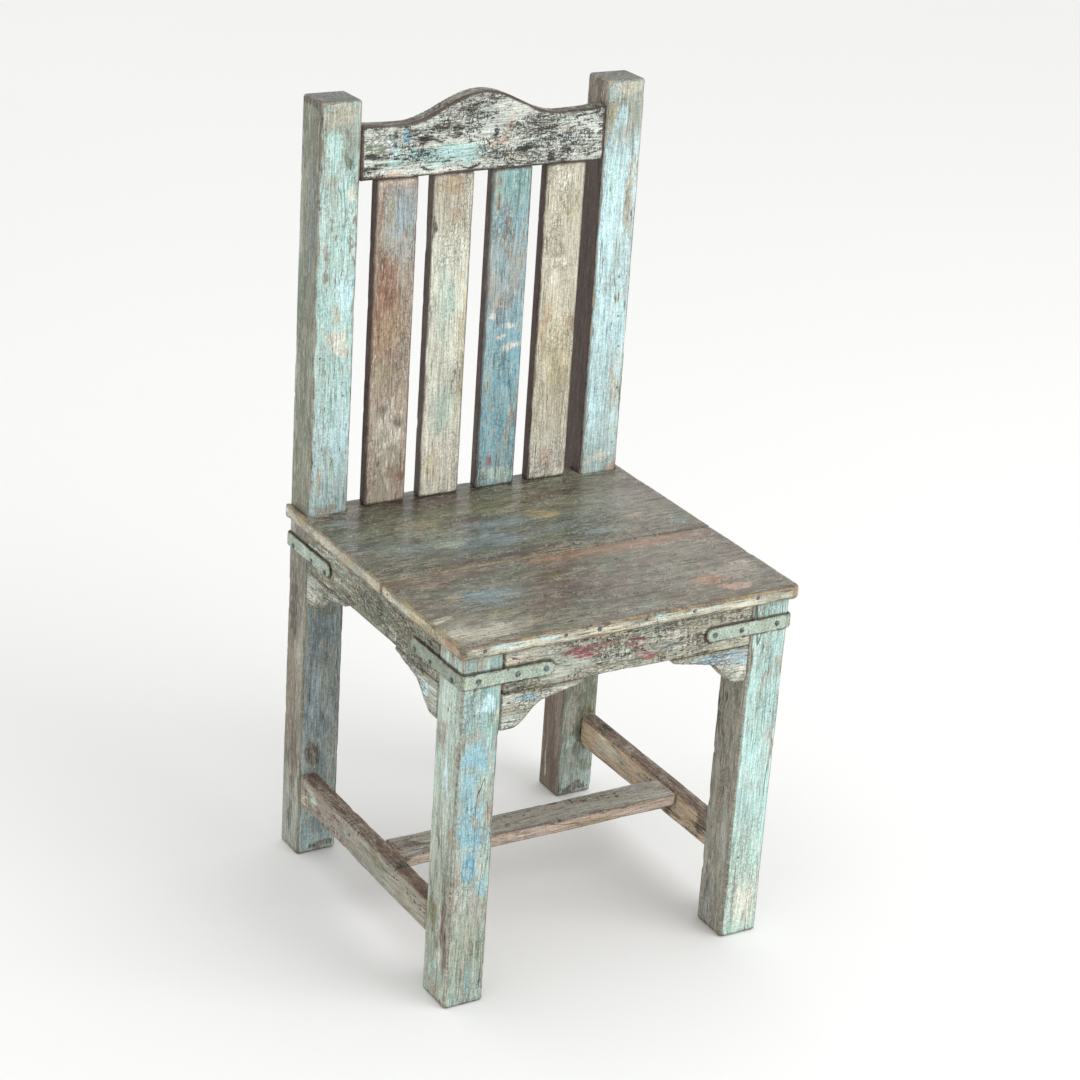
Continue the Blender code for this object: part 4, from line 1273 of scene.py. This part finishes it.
def timber_finish(name):
    """The material of one finish: wood, peeling coats, crazing, chips, rubbed arrises, dirt and painted
    shade.
    """
    label = "worn_" + name
    if label in bpy.data.materials:
        return bpy.data.materials[label]
    mixture = FINISHES[name]
    material, wires, shader = new_finish(label)

    def attribute(field):
        return wires.add("ShaderNodeAttribute", attribute_name=field).outputs

    board = attribute("board")["Vector"]

    def effect(tree, **inputs):
        node = wires.add("ShaderNodeGroup", node_tree=tree)
        wires.feed(node.inputs["Board"], board)
        for field, value in inputs.items():
            wires.feed(node.inputs[field.replace("_", " ")], value)
        return node.outputs

    def shade_of(part):
        return rgba(colour(mixture[part]))

    stain = attribute("tint")
    cover = attribute("cover")["Fac"]
    streaks = wires.ramp(cover, 0.80, 1.0, mixture["streaks"], mixture["streaks"] * 0.15)
    bloom = wires.ramp(cover, 1.1, 1.3, mixture["bloom"], mixture["bloom"] * 0.1)
    grain = effect(timber_grain(), Light=shade_of("light"), Dark=shade_of("dark"), Saw_Marks=mixture["saw"])
    paint = effect(
        old_coat(), Coat=attribute("coat")["Color"], Second=shade_of("second"), Third=shade_of("third"),
        Streaks=streaks, Cloudy=mixture["cloudy"], Stain=stain["Color"], Stain_Amount=stain["Alpha"],
        Stain_Strength=mixture["stain"], Bloom=rgba(colour("bone")), Bloom_Amount=bloom)
    peel = effect(peeling_edge(), Cover=cover)
    crack = effect(crazing(), Amount=mixture["craze"])["Crack"]
    fleck = effect(dark_flecks(), Amount=mixture["flecks"])["Fleck"]
    shake = effect(shakes(), Amount=mixture["shakes"])["Shake"]
    scratch = effect(scratches(), Amount=mixture["scratches"])["Scratch"]
    arris = effect(worn_arris(), Edge=wires.times(attribute("edge")["Fac"], mixture["arris_reach"]))
    # Dirt and painted shade from the timber's attribute, broken up along the grain
    darkening = effect(broken_shade_and_dirt(), Grime=attribute("grime")["Fac"])["Dirt"]
    worn = wires.mix(grain["Streak"], colour("umber"), shade_of("arris"))
    shade = wires.mix(peel["Paint"], grain["Color"], paint["Color"])
    for mask, strength, over in (
        (peel["Rim"], 0.45, colour("stone")),
        (grain["Pore"], mixture["pores"], shade_of("pore")),
        (crack, 1.0, colour("umber")),
        (fleck, 0.92, colour("soot")),
        (scratch, 1.0, colour("stone")),
        (shake, 1.0, colour("soot")),
        (arris["Bare"], mixture["arris_amount"], worn),
        (arris["Line"], 0.45, colour("umber")),
        # umber laid over dirt and painted shade: joints, strap edges, undersides and nail holes
        (darkening, 0.8, colour("umber")),
    ):
        shade = wires.mix(wires.times(mask, strength), shade, over)
    wires.feed(shader.inputs["Base Color"], shade)
    wires.feed(shader.inputs["Specular IOR Level"], mixture["shine"])
    wires.feed(shader.inputs["Coat Weight"], mixture["varnish"])
    wires.feed(shader.inputs["Coat Roughness"], 0.16)
    rough = wires.ramp(peel["Paint"], 0.0, 1.0, mixture["wood_rough"], mixture["paint_rough"])
    rough = wires.plus(rough, wires.ramp(grain["Streak"], 0.0, 1.0, 0.06, -0.06))
    wires.feed(shader.inputs["Roughness"], wires.plus(rough, wires.times(darkening, 0.15)))
    height = wires.plus(peel["Paint"], wires.times(grain["Streak"], 0.45))
    for mask, depth in ((grain["Pore"], 0.5), (crack, 0.7), (shake, 1.0), (fleck, 0.8)):
        height = wires.minus(height, wires.times(mask, depth))
    wires.finish_relief(shader, height, 0.8, 0.0004)
    return material


def nail_finish():
    """Old iron nails with paint left round their heads."""
    if "worn_nail" in bpy.data.materials:
        return bpy.data.materials["worn_nail"]
    material, wires, shader = new_finish("worn_nail")
    place = wires.add("ShaderNodeTexCoord").outputs["Object"]
    speck = wires.noise(place, (520, 520, 520), 3, 81.0)
    shade = wires.mix(wires.ramp(speck, 0.40, 0.60), colour("slate"), colour("umber"))
    wires.feed(shader.inputs["Base Color"], shade)
    wires.feed(shader.inputs["Roughness"], wires.ramp(speck, 0.3, 0.7, 0.4, 0.7))
    wires.feed(shader.inputs["Metallic"], wires.ramp(speck, 0.4, 0.6, 0.55, 0.2))
    wires.finish_relief(shader, speck, 0.6, 0.0002)
    return material


def pale_finish():
    """The floor's plain pale surface."""
    material, wires, shader = new_finish("pale_floor")
    place = wires.add("ShaderNodeTexCoord").outputs["Object"]
    cloud = wires.noise(place, (0.6, 0.6, 0.6), 2, 91.0)
    wires.feed(shader.inputs["Base Color"], wires.mix(cloud, (0.90, 0.90, 0.89), (0.93, 0.93, 0.92)))
    wires.feed(shader.inputs["Roughness"], 0.9)
    return material


class ChairOperator(bpy.types.Operator):
    """What the chair's operators share."""

    bl_options = {"REGISTER", "UNDO"}


class CHAIR_OT_back_posts(ChairOperator):
    """Dresses the two stout posts that run from the floor to above the crest"""

    bl_idname = "chair.back_posts"
    bl_label = "Back posts"

    def execute(self, context):
        return dress("back_post_left", "back_post_right")


class CHAIR_OT_front_legs(ChairOperator):
    """Dresses the two front legs"""

    bl_idname = "chair.front_legs"
    bl_label = "Front legs"

    def execute(self, context):
        return dress("leg_front_left", "leg_front_right")


class CHAIR_OT_crest_rail(ChairOperator):
    """Dresses the crest rail with its raised hump"""

    bl_idname = "chair.crest_rail"
    bl_label = "Crest rail"

    def execute(self, context):
        return dress("crest_rail")


class CHAIR_OT_slats(ChairOperator):
    """Dresses the four upright slats of the back"""

    bl_idname = "chair.slats"
    bl_label = "Back slats"

    def execute(self, context):
        return dress("slat_1", "slat_2", "slat_3", "slat_4")


class CHAIR_OT_seat(ChairOperator):
    """Dresses the two planks of the seat"""

    bl_idname = "chair.seat"
    bl_label = "Seat planks"

    def execute(self, context):
        return dress("seat_plank_back", "seat_plank_front")


class CHAIR_OT_aprons(ChairOperator):
    """Dresses the four aprons under the seat"""

    bl_idname = "chair.aprons"
    bl_label = "Aprons"

    def execute(self, context):
        return dress("apron_front", "apron_back", "apron_left", "apron_right")


class CHAIR_OT_brackets(ChairOperator):
    """Dresses the eight shaped brackets in the corners under the aprons"""

    bl_idname = "chair.brackets"
    bl_label = "Corner brackets"

    def execute(self, context):
        return dress(*(name for name in TIMBERS if name.startswith("bracket")))


class CHAIR_OT_stretchers(ChairOperator):
    """Dresses the low rails between the legs"""

    bl_idname = "chair.stretchers"
    bl_label = "Stretchers"

    def execute(self, context):
        return dress("side_stretcher_left", "side_stretcher_right", "cross_stretcher")


class CHAIR_OT_straps(ChairOperator):
    """Dresses the iron straps that wrap the corners"""

    bl_idname = "chair.straps"
    bl_label = "Corner straps"

    def execute(self, context):
        for name in straps():
            piece = worked_copy(name, context.scene.chair_wear.strap_voxel)
            weather_strap(piece, name)
            piece.data.materials.append(timber_finish("strap"))
            place_on_frame(piece, name)
        return {"FINISHED"}


class CHAIR_OT_nails(ChairOperator):
    """Gives the nails their worn iron"""

    bl_idname = "chair.nails"
    bl_label = "Nails"

    def execute(self, context):
        for name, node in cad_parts.items():
            if name.startswith("nail"):
                node.data.materials.clear()
                node.data.materials.append(nail_finish())
        return {"FINISHED"}


def nail_head():
    """One hammered nail head at the origin, facing the front: a disc drawn out to a low dome."""
    deselect_all()
    bpy.ops.mesh.primitive_cylinder_add(
        vertices=22, radius=HEAD_RADIUS, depth=HEAD_DEPTH,
        location=(0.0, HEAD_DEPTH / 2 + HEAD_RISE, 0.0), rotation=(math.radians(90), 0.0, 0.0))
    head = bpy.context.object
    bpy.ops.object.transform_apply(location=True, rotation=True, scale=True)
    bpy.ops.object.mode_set(mode="EDIT")
    bpy.ops.mesh.select_mode(type="FACE")
    bpy.ops.mesh.select_all(action="DESELECT")
    bpy.ops.object.mode_set(mode="OBJECT")
    for face in head.data.polygons:
        face.select = face.normal.y < -0.9
    bpy.ops.object.mode_set(mode="EDIT")
    for share, rise in ((0.20, 0.00012), (0.22, 0.00008), (0.24, 0.00004)):
        bpy.ops.mesh.inset(thickness=HEAD_RADIUS * share, depth=0.0)
        bpy.ops.transform.translate(value=(0.0, -rise, 0.0))
    bpy.ops.mesh.select_all(action="SELECT")
    bpy.ops.mesh.quads_convert_to_tris()
    bpy.ops.mesh.subdivide(number_cuts=1)
    bpy.ops.object.mode_set(mode="OBJECT")
    bpy.ops.object.shade_smooth_by_angle(angle=math.radians(40))
    return head


def edge_nail(head, place, radius, turn):
    """A copy of the head with a mesh of its own, sized, turned, set at its place and dented."""
    nail = head.copy()
    nail.data = head.data.copy()
    bpy.context.scene.collection.objects.link(nail)
    size = radius / HEAD_RADIUS
    sized = Matrix.Diagonal((size, 1.0, size, 1.0))
    nail.data.transform(Matrix.Translation(place) @ Matrix.Rotation(turn, 4, "Y") @ sized)
    low = place[Y] + HEAD_ROOM
    for vertex in nail.data.vertices:
        dent = math.sin(vertex.co.x * 2600 + turn * 3) * math.sin(vertex.co.z * 2300 + turn * 5)
        vertex.co.y = max(vertex.co.y + HEAD_DENT * dent, low)
    return nail


class CHAIR_OT_edge_nails(ChairOperator):
    """Sets the old nail heads in the seat's front edge"""

    bl_idname = "chair.edge_nails"
    bl_label = "Seat edge nails"

    def execute(self, context):
        head = nail_head()
        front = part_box("seat_plank_front")[0][Y]
        for number, (x, z, radius) in enumerate(NAIL_HOLES["seat_plank_front"]["front"], start=1):
            nail = edge_nail(head, (x / MM, front, z / MM), radius / MM - HEAD_MARGIN, 0.7 * number)
            nail.name = f"edge_nail_{number}"
            nail.data.materials.append(nail_finish())
            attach(nail, BODY)
        bpy.data.objects.remove(head)
        return {"FINISHED"}


class CHAIR_OT_stage(ChairOperator):
    """Sets the floor, the soft light and the camera"""

    bl_idname = "chair.stage"
    bl_label = "Stage"

    def execute(self, context):
        stage = context.scene.chair_stage
        deselect_all()
        bpy.ops.mesh.primitive_plane_add(size=FLOOR_SIZE, location=(0.0, 0.0, 0.0))
        floor = context.object
        floor.name = "pale_floor"
        floor.data.materials.append(pale_finish())
        world = bpy.data.worlds.new("studio")
        context.scene.world = world
        world.use_nodes = True
        world.node_tree.nodes["Background"].inputs["Color"].default_value = (1.0, 1.0, 1.0, 1.0)
        world.node_tree.nodes["Background"].inputs["Strength"].default_value = stage.sky
        soft_light("key_light", stage.key)
        place_camera(stage)
        context.scene.view_settings.view_transform = "Standard"
        return {"FINISHED"}


def soft_light(name, power):
    """A large square light that looks at the chair's seat."""
    lamp = bpy.data.lights.new(name, "AREA")
    lamp.energy = power
    lamp.size = LIGHT_SIZE
    light = bpy.data.objects.new(name, lamp)
    light.location = LIGHT_PLACE
    light.rotation_euler = (Vector(LIGHT_PLACE) - Vector(LIT_PLACE)).to_track_quat("Z", "Y").to_euler()
    bpy.context.scene.collection.objects.link(light)


def place_camera(stage):
    """The camera, at the photograph's viewing angle."""
    level_share = math.cos(stage.lift)
    away = Vector((
        math.sin(stage.turn) * level_share, -math.cos(stage.turn) * level_share, math.sin(stage.lift)))
    level = (-away).cross(Vector((0.0, 0.0, 1.0))).normalized()
    up = level.cross(-away)
    side = math.cos(stage.roll) * level + math.sin(stage.roll) * up
    head = -math.sin(stage.roll) * level + math.cos(stage.roll) * up
    lens = bpy.data.cameras.new("photo_camera")
    lens.lens = stage.lens
    lens.sensor_width = 36.0
    camera = bpy.data.objects.new("photo_camera", lens)
    turn = Matrix((side, head, away)).transposed()
    camera.matrix_world = Matrix.Translation(stage.camera) @ turn.to_4x4()
    bpy.context.scene.collection.objects.link(camera)
    bpy.context.scene.camera = camera


OPERATORS = (
    CHAIR_OT_back_posts,
    CHAIR_OT_front_legs,
    CHAIR_OT_crest_rail,
    CHAIR_OT_slats,
    CHAIR_OT_seat,
    CHAIR_OT_aprons,
    CHAIR_OT_brackets,
    CHAIR_OT_stretchers,
    CHAIR_OT_straps,
    CHAIR_OT_nails,
    CHAIR_OT_edge_nails,
    CHAIR_OT_stage,
)
GROUPS = {"chair_colours": ChairColours, "chair_wear": ChairWear, "chair_stage": ChairStage}


class CHAIR_PT_sidebar(bpy.types.Panel):
    """The chair's pieces, in the order they are made"""

    bl_label = "Peeling Paint Chair"
    bl_idname = "CHAIR_PT_sidebar"
    bl_space_type = "VIEW_3D"
    bl_region_type = "UI"
    bl_category = "Chair"

    def draw(self, context):
        for operator in OPERATORS:
            self.layout.operator(operator.bl_idname)
        for name in GROUPS:
            box = self.layout.box()
            settings = getattr(context.scene, name)
            for field in settings.bl_rna.properties:
                if not field.is_readonly and field.identifier != "name":
                    box.prop(settings, field.identifier)


def register():
    for kind in (*GROUPS.values(), *OPERATORS, CHAIR_PT_sidebar):
        bpy.utils.register_class(kind)
    for name, kind in GROUPS.items():
        setattr(bpy.types.Scene, name, bpy.props.PointerProperty(type=kind))


def unregister():
    for name in GROUPS:
        delattr(bpy.types.Scene, name)
    for kind in reversed((*GROUPS.values(), *OPERATORS, CHAIR_PT_sidebar)):
        bpy.utils.unregister_class(kind)


def main():
    """Makes the whole chair and its stage."""
    register()
    for operator in OPERATORS:
        family, name = operator.bl_idname.split(".")
        getattr(getattr(bpy.ops, family), name)()


if __name__ == "__main__":
    main()
